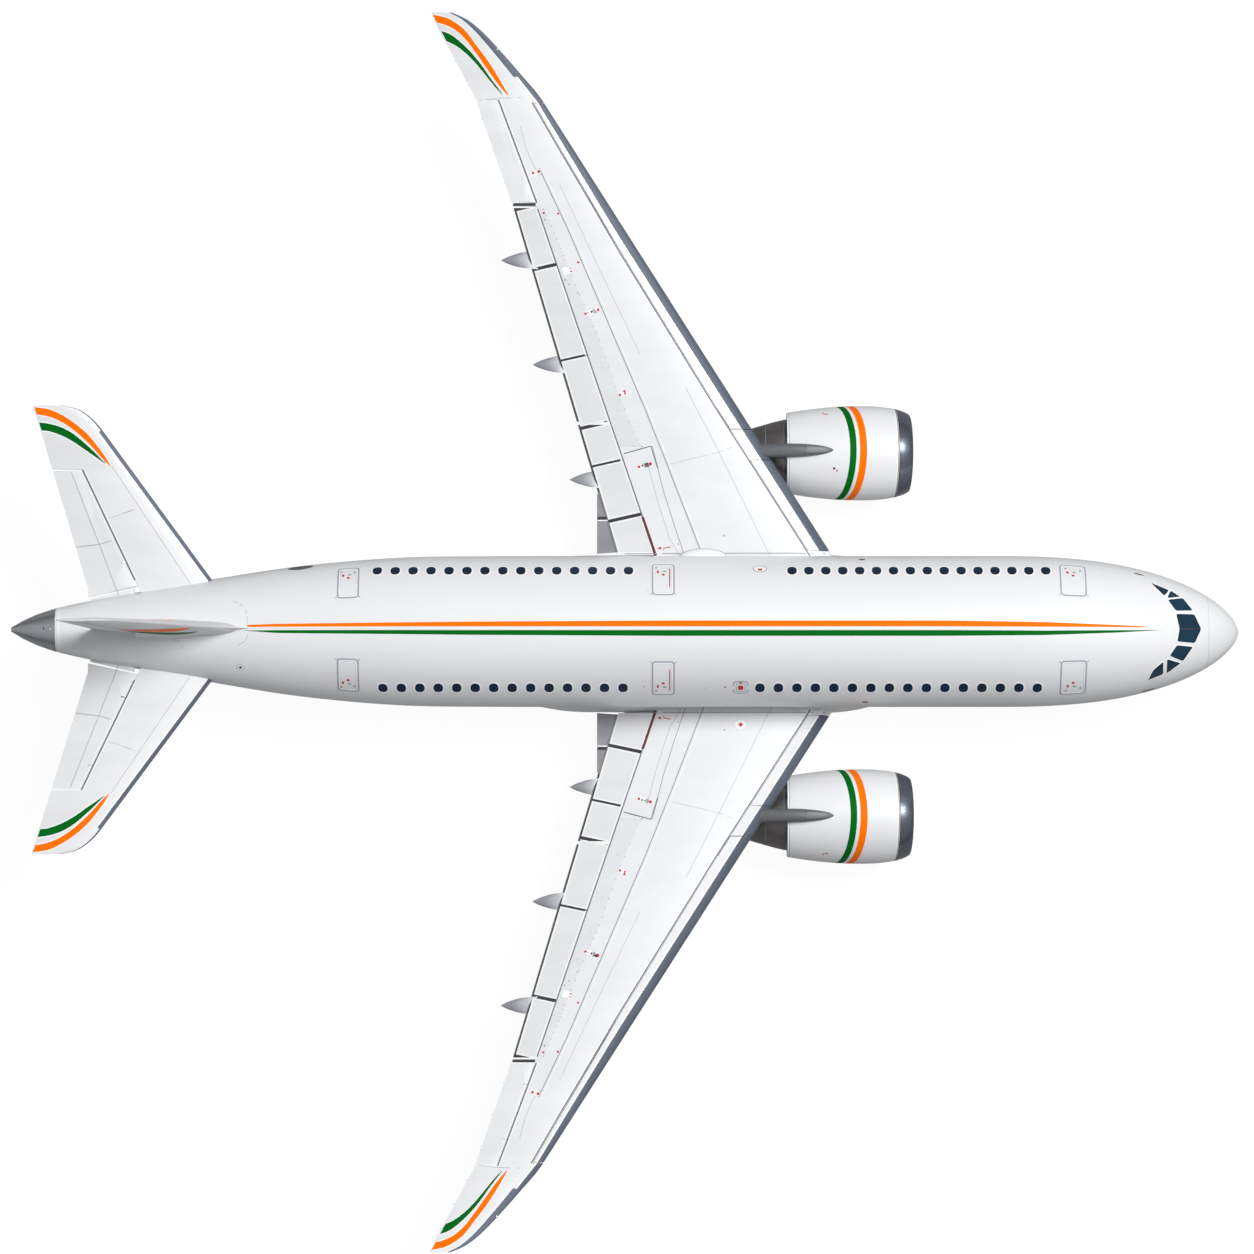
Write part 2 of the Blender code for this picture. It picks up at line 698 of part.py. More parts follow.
def fairing(name, grow=0.0):
    """The belly fairing: rounded boxes that swell below and beside the fuselage."""
    rings = []
    for x in (-5.6, -5.0, -4.4, -3.5, -2.6, -0.6, 3.0, 6.6, 8.4, 9.2, 9.8, 10.4, 10.9):
        half = smooth_table([(s, w) for s, w, _ in FAIRING], x) + grow
        low = smooth_table([(s, z) for s, _, z in FAIRING], x) - grow
        centre, tall = (FAIRING_TOP + low) / 2, (FAIRING_TOP - low) / 2
        ring = []
        for k in range(24):
            a = 2 * math.pi * k / 24
            across, up = math.sin(a), math.cos(a)
            ring.append((
                x,
                half * math.copysign(abs(across) ** 0.5, across),
                centre + tall * math.copysign(abs(up) ** 0.62, up),
            ))
        rings.append(ring)
    return loft(name, rings, split="FIXED")


def build_wing():
    """The left wing with its bays cut, and the surfaces that fill them."""
    body = WING.body("wing", WING_SPANS, points=WING_POINTS)
    hinge_x = [line(SPOILER_HINGE, y) for y in (2.0, 16.30)]
    bay = prism("flap_bay", [(hinge_x[0], 2.0), (hinge_x[1], 16.30), (-7.0, 16.30), (-7.0, 2.0)], -5.0, 3.0)
    sweep = math.cos(math.atan(line(AILERON_HINGE, 0) - line(AILERON_HINGE, 1)))
    ends = (AILERON_SPAN[0] - 0.03, AILERON_SPAN[1] + 0.04)
    aileron_bay = hinge_bay(WING, "aileron_bay", ends, AILERON_HINGE, lambda r: (r + RUN) / sweep)
    aileron = WING.flapper("aileron", AILERON_SPAN, AILERON_HINGE)
    cut(body, bay, aileron_bay)
    slats = build_slats(body)
    add_lugs(WING, AILERON_HINGE, AILERON_LUGS, body, aileron)
    x, y = WING_JACK
    half = JACK_PAD / 2
    foot = wing_mid(y) - WING.half(x, y) - JACK_PAD_DEPTH
    join(body, box("wing_jack_pad", (x - half, y - half, foot), (x + half, y + half, foot + 0.2)))
    flaps = {name: flap_shape(name, span) for name, span in FLAP_SPANS.items()}
    build_tracks(body, flaps)
    wing_cut = WING.body("wing_grown", WING_SPANS, GAP, points=WING_POINTS)
    finish(body, "wing_left", GREY)
    finish(aileron, "aileron_left", GREY, hinge_point(WING, AILERON_HINGE, AILERON_SPAN[0]))
    for name, shape in flaps.items():
        finish(shape, f"flap_{name}_left", GREY, flap_axis(name)[0])
    for k, span in enumerate(SPOILER_ENDS):
        build_spoiler(k + 1, span)
    for name, shape in slats.items():
        finish(shape, f"slat_{name}_left", METAL)
    return wing_cut


def spoiler_point(share, y, drop=0.0):
    """A point of the spoilers' upper skin at a share of their depth, or this far below it."""
    x = line(SPOILER_HINGE, y) - GAP
    x += (line(SPOILER_REAR, y) - x) * share
    return (x, y, wing_mid(y) + WING.half(x, y) - drop)


def spoiler_axis():
    """Two points of a straight line along the spoilers' front edges that is no lower than any of them."""
    places = [3.0 + 13.2 * k / 20 for k in range(21)]
    tops = [spoiler_point(0.0, y)[2] for y in places]
    slope = (tops[-1] - tops[0]) / (places[-1] - places[0])
    lift = max(z - tops[0] - slope * (y - places[0]) for y, z in zip(places, tops))
    ends = ((places[0], tops[0]), (places[-1], tops[-1]))
    return [(*spoiler_point(0.0, y)[:2], z + lift) for y, z in ends]


def build_spoiler(number, span):
    """A thin panel whose front edge is the hinge line; it is thickest a little behind it."""
    rings = []
    for y in span:
        slant = SPOILER_SLANT if y > SPOILER_ENDS[0][0] else 0.0
        top, low = [], []
        for share, depth in SPOILER_SECTION:
            at = y - slant * (line(SPOILER_HINGE, y) - line(SPOILER_REAR, y)) * share
            top.append(spoiler_point(share, at))
            low.append(spoiler_point(share, at, depth))
        rings.append([*top, *reversed(low)])
    first, last = (Vector(point) for point in spoiler_axis())
    axis_point = first + (last - first) * ((span[0] - first.y) / (last.y - first.y))
    both_sides(finish(loft("spoiler", rings), f"spoiler_{number}_left", GREY, axis_point))


def flap_rear(y):
    """Rear edge of the flaps in plan."""
    return FLAP_KINK[1] if y < FLAP_KINK[0] else WING.te(y)


def flap_shape(name, span):
    """A flap with a round nose, tucked under the spoilers, and a strip of it showing behind them."""
    inside = {y for ends in SPOILER_ENDS for y in ends} | {FLAP_KINK[0]}
    rings = []
    for y in sorted({*span, *[y for y in inside if span[0] < y < span[1]]}):
        middle = wing_mid(y)
        nose = line(SPOILER_HINGE, y) - FLAP_NOSE
        back = flap_rear(y)
        sink = 0.03 * max(WING.te(y) - back, 0.0)
        upper = [spoiler_point(share, y, depth + RUN) for share, depth in SPOILER_SECTION[1:]]
        step = spoiler_point(1.0, y, 0.0)
        upper.append((step[0] - RUN * 1.4, y, step[2] - 0.004))
        upper.append((back, y, middle + WING.half(back, y) - sink))
        stations = (nose - 0.1, (nose + back) / 2, (nose + 5 * back) / 6)
        bottom = [(x, y, middle - WING.half(x, y)) for x in stations]
        bottom.append((back, y, middle - WING.half(back, y) - sink))
        top_z, low_z = upper[0][2], bottom[0][2]
        front = [
            (nose - 0.015, y, top_z - 0.02),
            (nose, y, (top_z + low_z) / 2),
            (nose - 0.015, y, low_z + 0.03),
        ]
        rings.append([*reversed(upper), *front, *bottom])
    flap = loft("flap_" + name, rings)
    if name == "inboard":
        back, front = FLAP_ROOT
        cut(flap, prism("flap_root", [back, front, (front[0], 2.8), (back[0] - 0.2, 2.8)], -5.0, 3.0))
    return flap


def flap_axis(name):
    """The start of a flap's hinge line and the line's direction: one straight line serves both flaps."""
    ends = []
    for y in (5.0, 16.0):
        x = line(SPOILER_HINGE, y)
        ends.append(Vector((x, y, wing_mid(y) - WING.half(x, y) - FLAP_DROP)))
    run = (ends[1] - ends[0]).normalized()
    start = ends[0] + run * ((FLAP_SPANS[name][0] - 5.0) / run.y)
    return start, run


def track_fairing(name, y, tip_x):
    """A pointed pod that hangs from the wing and the flap."""
    rings = []
    for share, width, depth in (
        (0.0, 0.02, 0.02), (0.06, 0.26, 0.24), (0.18, 0.62, 0.62), (0.34, 0.92, 0.93), (0.50, 1.0, 1.0),
        (0.66, 0.96, 0.86), (0.80, 0.78, 0.60), (0.92, 0.48, 0.30), (1.0, 0.12, 0.06),
    ):
        x = tip_x + TRACK_LENGTH * share
        rear = flap_rear(y)
        skin = -WING.half(x, y) if x > rear else 0.0
        bite = min(0.06, 0.45 * WING.half(x, y)) if x > rear + 0.05 else -0.02
        drop = 0.16 * (1 - share) ** 2
        top = wing_mid(y) + skin + bite - (drop if x <= rear + 0.05 else 0.0)
        ring = [(x, y + TRACK_WIDTH * width, top)]
        for k in range(1, 7):
            a = math.pi * k / 7
            down = TRACK_DEPTH * depth * math.sin(a) ** 0.9
            ring.append((x, y + TRACK_WIDTH * width * math.cos(a), top - down))
        ring.append((x, y - TRACK_WIDTH * width, top))
        rings.append(ring)
    return loft(name, rings)


def build_tracks(wing, flaps):
    """Splits each track fairing at the flap's hinge line: its front is the wing's, its rear the flap's."""
    start, run = flap_axis("inboard")
    forward = Vector((run.y, -run.x, 0)).normalized()
    under = WING.body("wing_with_room", WING_SPANS, RUN, points=WING_POINTS)

    def slab(name, centre, low, high):
        """A cutter across the fairing, parallel to the hinge line and this far ahead of it."""
        corners = ((low, -1.0), (high, -1.0), (high, 1.0), (low, 1.0))
        outline = [(centre + forward * ahead + run * aside)[:2] for ahead, aside in corners]
        return prism(name, outline, -6.0, 3.0)

    for y, tip_x in TRACKS:
        flap = flaps["inboard" if y < FLAP_SPANS["inboard"][1] else "outboard"]
        centre = start + run * ((y - start.y) / run.y)
        side = run * (TRACK_WIDTH * 1.6)
        pivot = rod("pivot_disc", centre - side, centre + side, TRACK_PIVOT_RADIUS, sides=TURN_SIDES)
        socket_radius = TRACK_PIVOT_RADIUS + RUN * 1.2
        side = side * 1.1
        socket = rod("pivot_socket", centre - side, centre + side, socket_radius, sides=TURN_SIDES)
        cut(pivot, under)
        front = cut(track_fairing("track_front", y, tip_x), slab("behind", centre, -8.0, 0.10), socket)
        rear = cut(track_fairing("track_rear", y, tip_x), cut(slab("ahead", centre, -0.02, 6.0), pivot))
        half = run * 0.04
        plate = [
            centre + forward * ahead + Vector((0, 0, up))
            for ahead, up in ((-0.07, 0.07), (0.48, 0.09), (0.48, -0.09), (-0.07, -0.07))
        ]
        tongue = loft("tongue", [[p - half for p in plate], [p + half for p in plate]])
        pin = rod("track_pin", centre - run * 0.14, centre + run * 0.14, TRACK_PIN, sides=LUG_SIDES)
        slot = rod("track_slot", centre - half * 1.8, centre + half * 1.8, TRACK_PIVOT_RADIUS + RUN * 2)
        reach = run * 0.15
        bore = rod("track_bore", centre - reach, centre + reach, TRACK_PIN * LUG_BORE, sides=LUG_SIDES)
        join(front, tongue, pin)
        cut(rear, slot, bore)
        join(flap, rear)
        join(wing, front)


def slat_shape(name, span, bay=False):
    """A slat, the wing's leading edge with a hollow back, or as a bay the cutter that makes room for it."""
    margin = RUN * 1.2 if bay else 0.0
    room = RUN if bay else 0.0
    low_y, high_y = span[0] - margin, span[1] + margin
    count = 6 if high_y - low_y > 5 else 3
    rings = []
    for k in range(count):
        y = low_y + (high_y - low_y) * k / (count - 1)
        depth = table(SLAT_DEPTH, y)

        def at(behind, side=0, extra=0.0):
            """A point this far behind the edge, on a skin or on the mid surface."""
            x = WING.le(y) - behind
            return (x, y, wing_mid(y) + side * WING.half(x, y) + extra)

        high, low = at(depth, 1)[2], at(depth * 0.55, -1)[2]
        hollow = [
            (*at(depth * share + margin)[:2], high + (low - high) * drop - 0.010 - room * (1 - 2 * drop))
            for share, drop in ((0.42, 0.84), (0.33, 0.55), (0.42, 0.25), (0.70, 0.06))
        ]
        lip_low = (*at(depth * 0.55 + margin)[:2], low + 0.014 + room)
        lip_high = (*at(depth + margin)[:2], high - 0.012 - room)
        if bay:
            outside = [
                at(depth + margin, extra=0.9), at(-0.4, extra=0.9),
                at(-0.4, extra=-0.9), at(depth * 0.55 + margin, extra=-0.9),
            ]
        else:
            outside = [at(depth * (1 - math.cos(math.pi * j / 12)), 1) for j in range(6, 0, -1)]
            outside.append(at(0.0))
            outside += [at(depth * 0.55 * (1 - math.cos(math.pi * j / 8)), -1) for j in range(1, 5)]
        rings.append([*outside, lip_low, *hollow, lip_high])
    return loft(name, rings)


def slat_bar(name, y, grow=0.0):
    """A guide bar that reaches from a slat's back into the wing along the slat's slide."""
    depth = table(SLAT_DEPTH, y)
    x = WING.le(y) - depth * 0.30
    z = wing_mid(y) + 0.02
    rings = []
    for along, at in ((0.0, x), (SLAT_BAR_LENGTH + grow * 30, x - SLAT_BAR_LENGTH - grow * 30)):
        lift = along * math.tan(SLAT_SLOPE)
        half = SLAT_BAR / 2 + grow
        corners = ((-half, -half), (half, -half), (half, half), (-half, half))
        rings.append([(at, y + a, z + lift + b) for a, b in corners])
    return loft(name, rings)


def build_slats(wing):
    """Cuts the slats' bays and guides into the wing and returns the slats."""
    slats = {}
    for name, span in SLAT_SPANS.items():
        slat = slat_shape(name, span)
        cut(wing, slat_shape(f"slat_bay_{name}", span, True))
        for share in (0.2, 0.8):
            y = span[0] + (span[1] - span[0]) * share
            cut(wing, slat_bar("slat_guide", y, 0.0014))
            join(slat, slat_bar("slat_bar", y))
        slats[name] = slat
    return slats


def build_tail(hull_cut):
    """Stabilizers with elevators, and the fin with its rudder."""
    body = STAB.body("stab", (0.6, 3.0, 5.5, 7.61, 8.10, 8.40, 8.53))
    sweep = math.cos(math.atan(line(ELEVATOR_HINGE, 0) - line(ELEVATOR_HINGE, 1)))
    ends = (0.5, ELEVATOR_SPAN[1] + 0.04)
    bay = hinge_bay(STAB, "elevator_bay", ends, ELEVATOR_HINGE, lambda r: (r + RUN) / sweep)
    cut(body, hull_cut, bay)
    elevator = STAB.flapper("elevator", ELEVATOR_SPAN, ELEVATOR_HINGE)
    nose_x = line(ELEVATOR_HINGE, ELEVATOR_SPAN[0])
    back_x = STAB.te(ELEVATOR_SPAN[0])
    wedge = 0.22 * (nose_x - back_x)
    inner = ELEVATOR_SPAN[0]
    rear_x = back_x + 0.02
    patch = [(nose_x, inner + 0.02), (rear_x, inner + 0.02), (rear_x, inner - wedge), (nose_x, inner)]
    rings = []
    for side in (1, -1):
        rings.append([STAB.place(x, y, side * (STAB.half(x, y) - 0.0005)) for x, y in patch])
    join(elevator, loft("elevator_root", rings))
    add_lugs(STAB, ELEVATOR_HINGE, ELEVATOR_LUGS, body, elevator)
    both_sides(finish(body, "stabilizer_left", GREY))
    both_sides(finish(elevator, "elevator_left", GREY, hinge_point(STAB, ELEVATOR_HINGE, ELEVATOR_SPAN[0])))

    fin = FIN.body("fin", (1.4, 2.95, 5.0, 7.0, 8.60, 9.00, 9.20))
    rings = []
    for x, half, top in DORSAL:
        base = hull_centre(x) + hull_radius(x) - 0.5
        waist = base + (top - base) * 0.7
        flank = [(half, base), (half * 0.5, waist), (0.01, top)]
        rings.append([(x, y, z) for y, z in flank + [(-y, z) for y, z in reversed(flank)]])
    join(fin, loft("dorsal", rings))
    sweep = math.cos(math.atan(line(RUDDER_HINGE, 0) - line(RUDDER_HINGE, 1)))
    ends = (1.0, RUDDER_SPAN[1] + 0.04)
    bay = hinge_bay(FIN, "rudder_bay", ends, RUDDER_HINGE, lambda r: (r + RUN) / sweep)
    cut(fin, bay, hull_cut)
    rudder = FIN.flapper("rudder", RUDDER_SPAN, RUDDER_HINGE)
    add_lugs(FIN, RUDDER_HINGE, RUDDER_LUGS, fin, rudder)
    finish(fin, "fin", WHITE)
    finish(rudder, "rudder", WHITE, hinge_point(FIN, RUDDER_HINGE, RUDDER_SPAN[0]))


# Engines
def scarfed(obj):
    """Leans the intake's plane: its top reaches further forward than its foot."""
    start = SCARF_FROM_X * SCALE
    full = (COWL_OUTER[-1][0] - SCARF_FROM_X) * SCALE
    axis = (ENGINE_Z + STAND) * SCALE
    for v in obj.data.vertices:
        share = min(max((v.co.x - start) / full, 0.0), 1.0)
        v.co.x += SCARF * (v.co.z - axis) * share
    return obj


def pylon_shape(name, grow=0.0):
    rings = []
    for x, half, top, bottom in PYLON:
        at = x + (grow if x == PYLON[0][0] else -grow if x == PYLON[-1][0] else 0.0)
        half, top, bottom = half + grow, top + grow, bottom - grow
        bevel = min(half * 0.5, 0.1)
        flank = [(half, bottom), (half, top - bevel), (half - bevel, top)]
        outline = flank + [(-y, z) for y, z in reversed(flank)]
        rings.append([(at, ENGINE_Y + y, z) for y, z in outline])
    return loft(name, rings, split="FIXED")


def fan_shape(name):
    """Spinner, hub and blades in one piece, with a shaft behind."""
    hub = turned(name, FAN_HUB, ENGINE_Y, ENGINE_Z, PIN_SIDES)
    start, end = ((x, ENGINE_Y, ENGINE_Z) for x in (9.10, 8.66))
    join(hub, rod("fan_shaft", start, end, FAN_SHAFT, sides=TURN_SIDES))
    blades = []
    for k in range(FAN_BLADES):
        turn = Matrix.Rotation(2 * math.pi * (k + 0.3) / FAN_BLADES, 4, "X")
        rings = []
        for r, pitch, chord, thick in BLADE:
            a = math.radians(pitch)
            along = Vector((math.cos(a), math.sin(a), 0)) * chord / 2
            off = Vector((-math.sin(a), math.cos(a), 0)) * thick / 2
            level = Vector((FAN_X, 0, r))
            points = (level + along, level + off, level - along, level - off)
            rings.append([(p.x, p.y + ENGINE_Y, p.z + ENGINE_Z) for p in (turn @ q for q in points)])
        blades.append(loft(f"blade_{k}", rings, split="BEAUTY"))
    return join(hub, *blades)


def build_engine(wing_cut):
    pylon_cut = pylon_shape("pylon_grown", GAP)
    cowl = turned("cowl", [*COWL_OUTER, *COWL_INNER], ENGINE_Y, ENGINE_Z, COWL_SIDES, closed=True)
    cut(scarfed(cowl), pylon_cut)
    ring = [(x + GAP if x == LIP[0][0] else x, r) for x, r in LIP]
    lip = scarfed(turned("lip", ring, ENGINE_Y, ENGINE_Z, COWL_SIDES, closed=True))
    profile = [(CORE[0][0], 0.0), *CORE, (CORE[-1][0], 0.0)]
    core = turned("core", profile, ENGINE_Y, ENGINE_Z, TURN_SIDES)
    start, end = ((x, ENGINE_Y, ENGINE_Z) for x in (9.2, 8.64))
    bearing = rod("bearing", start, end, FAN_SHAFT * FINE_BORE, sides=TURN_SIDES)
    cut(core, pylon_cut, bearing)
    pylon = cut(pylon_shape("pylon"), wing_cut)
    centre = (FAN_X, ENGINE_Y, ENGINE_Z)
    both_sides(finish(cowl, "nacelle_left", WHITE))
    both_sides(finish(lip, "intake_lip_left", METAL))
    both_sides(finish(core, "engine_core_left", EXHAUST))
    both_sides(finish(pylon, "pylon_left", METAL))
    fan = finish(fan_shape("fan"), "fan_left", TITANIUM, centre)
    twin = bpy.data.objects.new("fan_right", fan.data)
    PARTS.objects.link(twin)
    twin.location = (fan.location.x, -fan.location.y, fan.location.z)


# Landing gear
def wheel_pair(name, x, y, z, radius, width, track, axle):
    """Two wheels on one axle: tyres with rounded shoulders, dished hubs."""
    shapes = []
    for side in (-1, 1):
        middle = y + side * track / 2
        half = width / 2
        hub = radius * 0.46
        profile = [
            (middle - half * 0.72, 0.0), (middle - half * 0.72, hub), (middle - half, radius * 0.80),
            (middle - half * 0.66, radius), (middle + half * 0.66, radius), (middle + half, radius * 0.80),
            (middle + half * 0.72, hub), (middle + half * 0.72, 0.0),
        ]
        shapes.append(turned(f"{name}_{side}", profile, x, z, WHEEL_SIDES, along="Y"))
    reach = track / 2 + width * 0.15
    bar = rod(f"{name}_axle", (x, y - reach, z), (x, y + reach, z), axle)
    return join(shapes[0], bar, shapes[1])


def build_main_gear(wing_cut, fairing_cut):
    axle_z = WHEEL_RADIUS - STAND
    piston_foot = axle_z + 0.14
    axis = (MAIN_X, MAIN_Y)
    leg = rod("leg", (*axis, MAIN_LEG_TOP), (*axis, MAIN_LEG_FOOT), MAIN_LEG_RADIUS)
    collar_top = MAIN_LEG_FOOT + 0.27
    parts = [
        rod("piston", (*axis, MAIN_LEG_FOOT + 0.15), (*axis, piston_foot), MAIN_PISTON_RADIUS),
        strut("brace", axis, MAIN_BRACE),
        strut("drag", axis, MAIN_DRAG_STRUT),
        rod("collar", (*axis, collar_top), (*axis, MAIN_LEG_FOOT), MAIN_LEG_RADIUS * 1.15),
        *[strut("link", axis, shape) for shape in MAIN_LINKS],
        *[strut("door_arm", axis, shape) for shape in DOOR_ARMS],
    ]
    door = [[(MAIN_X + x, MAIN_Y + y + face, z) for x, y, z in LEG_DOOR] for face in LEG_DOOR_FACES]
    join(leg, *parts, loft("leg_door", door))
    cut(leg, wing_cut, fairing_cut)
    both_sides(finish(leg, "main_gear_leg_left", GEAR))

    axles = {"rear": MAIN_X - BOGIE_BASE / 2, "front": MAIN_X + BOGIE_BASE / 2}
    beam = rod("beam", (axles["rear"], MAIN_Y, axle_z), (axles["front"], MAIN_Y, axle_z), BEAM_RADIUS)
    yoke = rod("yoke", (*axis, piston_foot - GAP), (*axis, axle_z), HOUSING_RADIUS)
    housings, bores = [], []
    for place, x in axles.items():
        ends = [(x, MAIN_Y + side * HOUSING_REACH, axle_z) for side in (-1, 1)]
        housings.append(rod("housing", *ends, HOUSING_RADIUS))
        ends = [(x, MAIN_Y + side * HOUSING_REACH * 1.5, axle_z) for side in (-1, 1)]
        bores.append(rod("axle_bore", *ends, AXLE_RADIUS * BORE))
        sizes = (WHEEL_RADIUS, WHEEL_WIDTH, WHEEL_TRACK, AXLE_RADIUS)
        pair = wheel_pair(f"pair_{place}", x, MAIN_Y, axle_z, *sizes)
        both_sides(finish(pair, f"main_wheels_{place}_left", TYRE, (x, MAIN_Y, axle_z)))
    join(beam, yoke, *housings)
    cut(beam, *bores)
    both_sides(finish(beam, "bogie_left", GEAR))


def build_nose_gear():
    axle_z = NOSE_WHEEL_RADIUS - STAND
    x = NOSE_GEAR_X
    top = BAY_ROOF - GAP
    foot_x = x - NOSE_BRACE_FOOT
    leg = rod("nose_leg", (x, 0, top), (x, 0, NOSE_LEG_FOOT), NOSE_LEG_RADIUS)
    join(
        leg,
        rod("nose_collar", (x, 0, NOSE_LEG_FOOT + 0.25), (x, 0, NOSE_LEG_FOOT), NOSE_LEG_RADIUS * 1.2),
        rod("nose_brace", (x, 0, NOSE_LEG_FOOT + 0.55), (foot_x, 0, top - 0.12), 0.075, sides=LUG_SIDES),
        rod("brace_foot", (foot_x, 0, top), (foot_x, 0, BAY_ROOF - 0.3), 0.12, sides=LUG_SIDES),
    )
    bore_radius = NOSE_PISTON_RADIUS * BORE
    cut(leg, rod("piston_bore", (x, 0, NOSE_LEG_FOOT + 0.60), (x, 0, NOSE_LEG_FOOT - 0.15), bore_radius))
    fork = rod("nose_piston", (x, 0, NOSE_LEG_FOOT + 0.55), (x, 0, axle_z + 0.05), NOSE_PISTON_RADIUS)
    collar = ((x, 0, NOSE_LEG_FOOT - GAP), (x, 0, NOSE_LEG_FOOT - 0.25))
    join(
        fork,
        rod("steering_collar", *collar, NOSE_LEG_RADIUS * 1.1),
        *[strut("nose_link", (x, 0), shape) for shape in NOSE_LINKS],
        rod("axle_housing", (x, -NOSE_HOUSING, axle_z), (x, NOSE_HOUSING, axle_z), NOSE_HOUSING),
        box(
            "tow_fitting", (x + 0.05, -TOW_FITTING / 2, axle_z - TOW_FITTING / 2),
            (x + 0.26, TOW_FITTING / 2, axle_z + TOW_FITTING / 2),
        ),
    )
    cut(fork, rod("nose_axle_bore", (x, -0.3, axle_z), (x, 0.3, axle_z), NOSE_AXLE_RADIUS * BORE))
    sizes = (NOSE_WHEEL_RADIUS, NOSE_WHEEL_WIDTH, NOSE_WHEEL_TRACK, NOSE_AXLE_RADIUS)
    pair = wheel_pair("nose_pair", x, 0.0, axle_z, *sizes)
    finish(leg, "nose_gear_leg", GEAR)
    finish(fork, "nose_gear_fork", GEAR, (x, 0, NOSE_LEG_FOOT - 0.02))
    finish(pair, "nose_wheels", TYRE, (x, 0, axle_z))
    rear, front = NOSE_DOOR_X
    low = NOSE_DOOR_TOP - NOSE_DOOR_HEIGHT
    outline = ((rear, NOSE_DOOR_TOP), (front, NOSE_DOOR_TOP), (front - 0.1, low), (rear + 0.1, low))
    faces = (BAY_HALF_WIDTH - NOSE_DOOR_THICK, BAY_HALF_WIDTH - GAP)
    door = loft("nose_door", [[(x, y, z) for x, z in outline] for y in faces])
    both_sides(finish(door, "nose_gear_door_left", WHITE))


def main():
    build_fuselage()
    fuselage_cut = hull("fuselage_grown", TAIL_CONE_X - 0.3, 13.0, GAP)
    wing_cut = build_wing()
    wing_twin = copy_of(wing_cut, "wing_grown_right")
    wing_twin.data.transform(Matrix.Scale(-1, 4, (0, 1, 0)))
    wing_twin.data.flip_normals()
    fairing_cut = fairing("fairing_grown", GAP)
    belly = cut(fairing("belly"), fuselage_cut, wing_cut, wing_twin)
    finish(belly, "belly_fairing", WHITE)
    build_tail(fuselage_cut)
    build_engine(wing_cut)
    build_main_gear(wing_cut, fairing_cut)
    build_nose_gear()
    for part in [o for o in PARTS.objects if o.name.endswith("_left")]:
        if not PARTS.objects.get(part.name.replace("_left", "_right")):
            both_sides(part)


main()
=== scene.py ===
"""Looks of a half-size airliner on its landing gear, seen from straight above.

Lengths below are full-size metres, measured from the fuselage's centre line with the nose towards +X and
port towards +Y. Shell.build turns them into the model's metres. Pieces of the port side are mirrored.
"""
import math

import bmesh
import bpy
from mathutils import Matrix, Vector


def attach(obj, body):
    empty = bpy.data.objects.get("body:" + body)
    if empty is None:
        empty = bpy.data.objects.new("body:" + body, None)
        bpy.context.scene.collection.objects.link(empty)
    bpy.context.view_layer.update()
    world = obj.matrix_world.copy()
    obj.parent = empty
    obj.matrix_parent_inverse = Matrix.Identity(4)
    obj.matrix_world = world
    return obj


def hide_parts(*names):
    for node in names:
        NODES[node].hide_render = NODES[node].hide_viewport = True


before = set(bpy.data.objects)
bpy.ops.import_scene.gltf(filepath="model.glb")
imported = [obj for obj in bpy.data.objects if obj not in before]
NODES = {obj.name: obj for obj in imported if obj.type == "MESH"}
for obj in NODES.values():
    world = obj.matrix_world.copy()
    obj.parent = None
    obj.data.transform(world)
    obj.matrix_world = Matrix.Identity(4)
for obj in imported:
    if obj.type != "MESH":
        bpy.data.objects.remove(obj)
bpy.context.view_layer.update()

SCALE = 0.5
STAND = 5.2  # height of the fuselage's centre line above the ground

# Fuselage
RADIUS = 2.88
NOSE_X = 23.40
NOSE_START_X = 14.20
NOSE_DROP = 0.85
NOSE_POWER = 2.43
NOSE_ROUND = 0.612
TAIL_X = -23.40
TAIL_RISE = 0.55
TAIL_RADII = (
    (-4.5, 2.88), (-8.6, 2.82), (-12.5, 2.48), (-15.9, 1.95),
    (-18.2, 1.54), (-20.4, 1.12), (-21.72, 0.82), (-22.7, 0.47), (-23.40, 0.07),
)
RADOME_X = 22.15
TAIL_CONE_X = -21.72
TAIL_SEAM_X = -23.0
BAY_X = (16.2, 18.25)
BAY_HALF_WIDTH = 0.48
BAY_ROOF = -1.75
SEAM = 0.012  # half the gap between two skin pieces

# Belly fairing: station, half width, lowest height
FAIRING = (
    (-5.6, 1.60, -2.55), (-4.4, 2.45, -2.95), (-2.6, 2.93, -3.20), (-0.6, 3.01, -3.32),
    (3.0, 3.02, -3.38), (6.6, 3.02, -3.34), (8.4, 2.98, -3.22), (9.8, 2.60, -2.98), (10.9, 1.70, -2.60),
)
FAIRING_TOP = -0.62
FAIRING_POWERS = (0.5, 0.62)  # of its section, across and upwards

# Wing in plan
ROOT_Y = 2.70
TIP_Y = 23.60
WING_LE = (
    (2.0, 8.51), (20.35, -3.25), (21.3, -4.05), (22.1, -4.76), (22.85, -5.48), (23.35, -6.12),
    (23.60, -6.70),
)
WING_TE = (
    (2.0, -0.108), (16.37, -4.39), (20.35, -5.79), (21.3, -6.29), (22.1, -6.71), (22.85, -7.13),
    (23.60, -7.48),
)
WING_THICKNESS = ((2.0, 0.135), (16.4, 0.112), (23.6, 0.09))
WING_ROOT_Y = 2.895  # where the dihedral starts
WING_Z = -1.55
DIHEDRAL = math.radians(6.0)
TIP_CURVE_Y = 20.35
TIP_CURVE = 0.055
EDGE = 0.018  # thickness of a trailing edge
SPOILER_HINGE = ((2.65, 1.19), (16.40, -3.51))
SPOILER_REAR = ((2.68, -0.22), (16.24, -4.27))
SPOILER_ENDS = ((3.06, 4.50), (4.62, 6.60), (6.68, 8.02), (8.14, 10.60), (10.68, 14.02), (14.14, 16.28))
SPOILER_SLANT = 0.20
FLAP_END_Y = 16.30
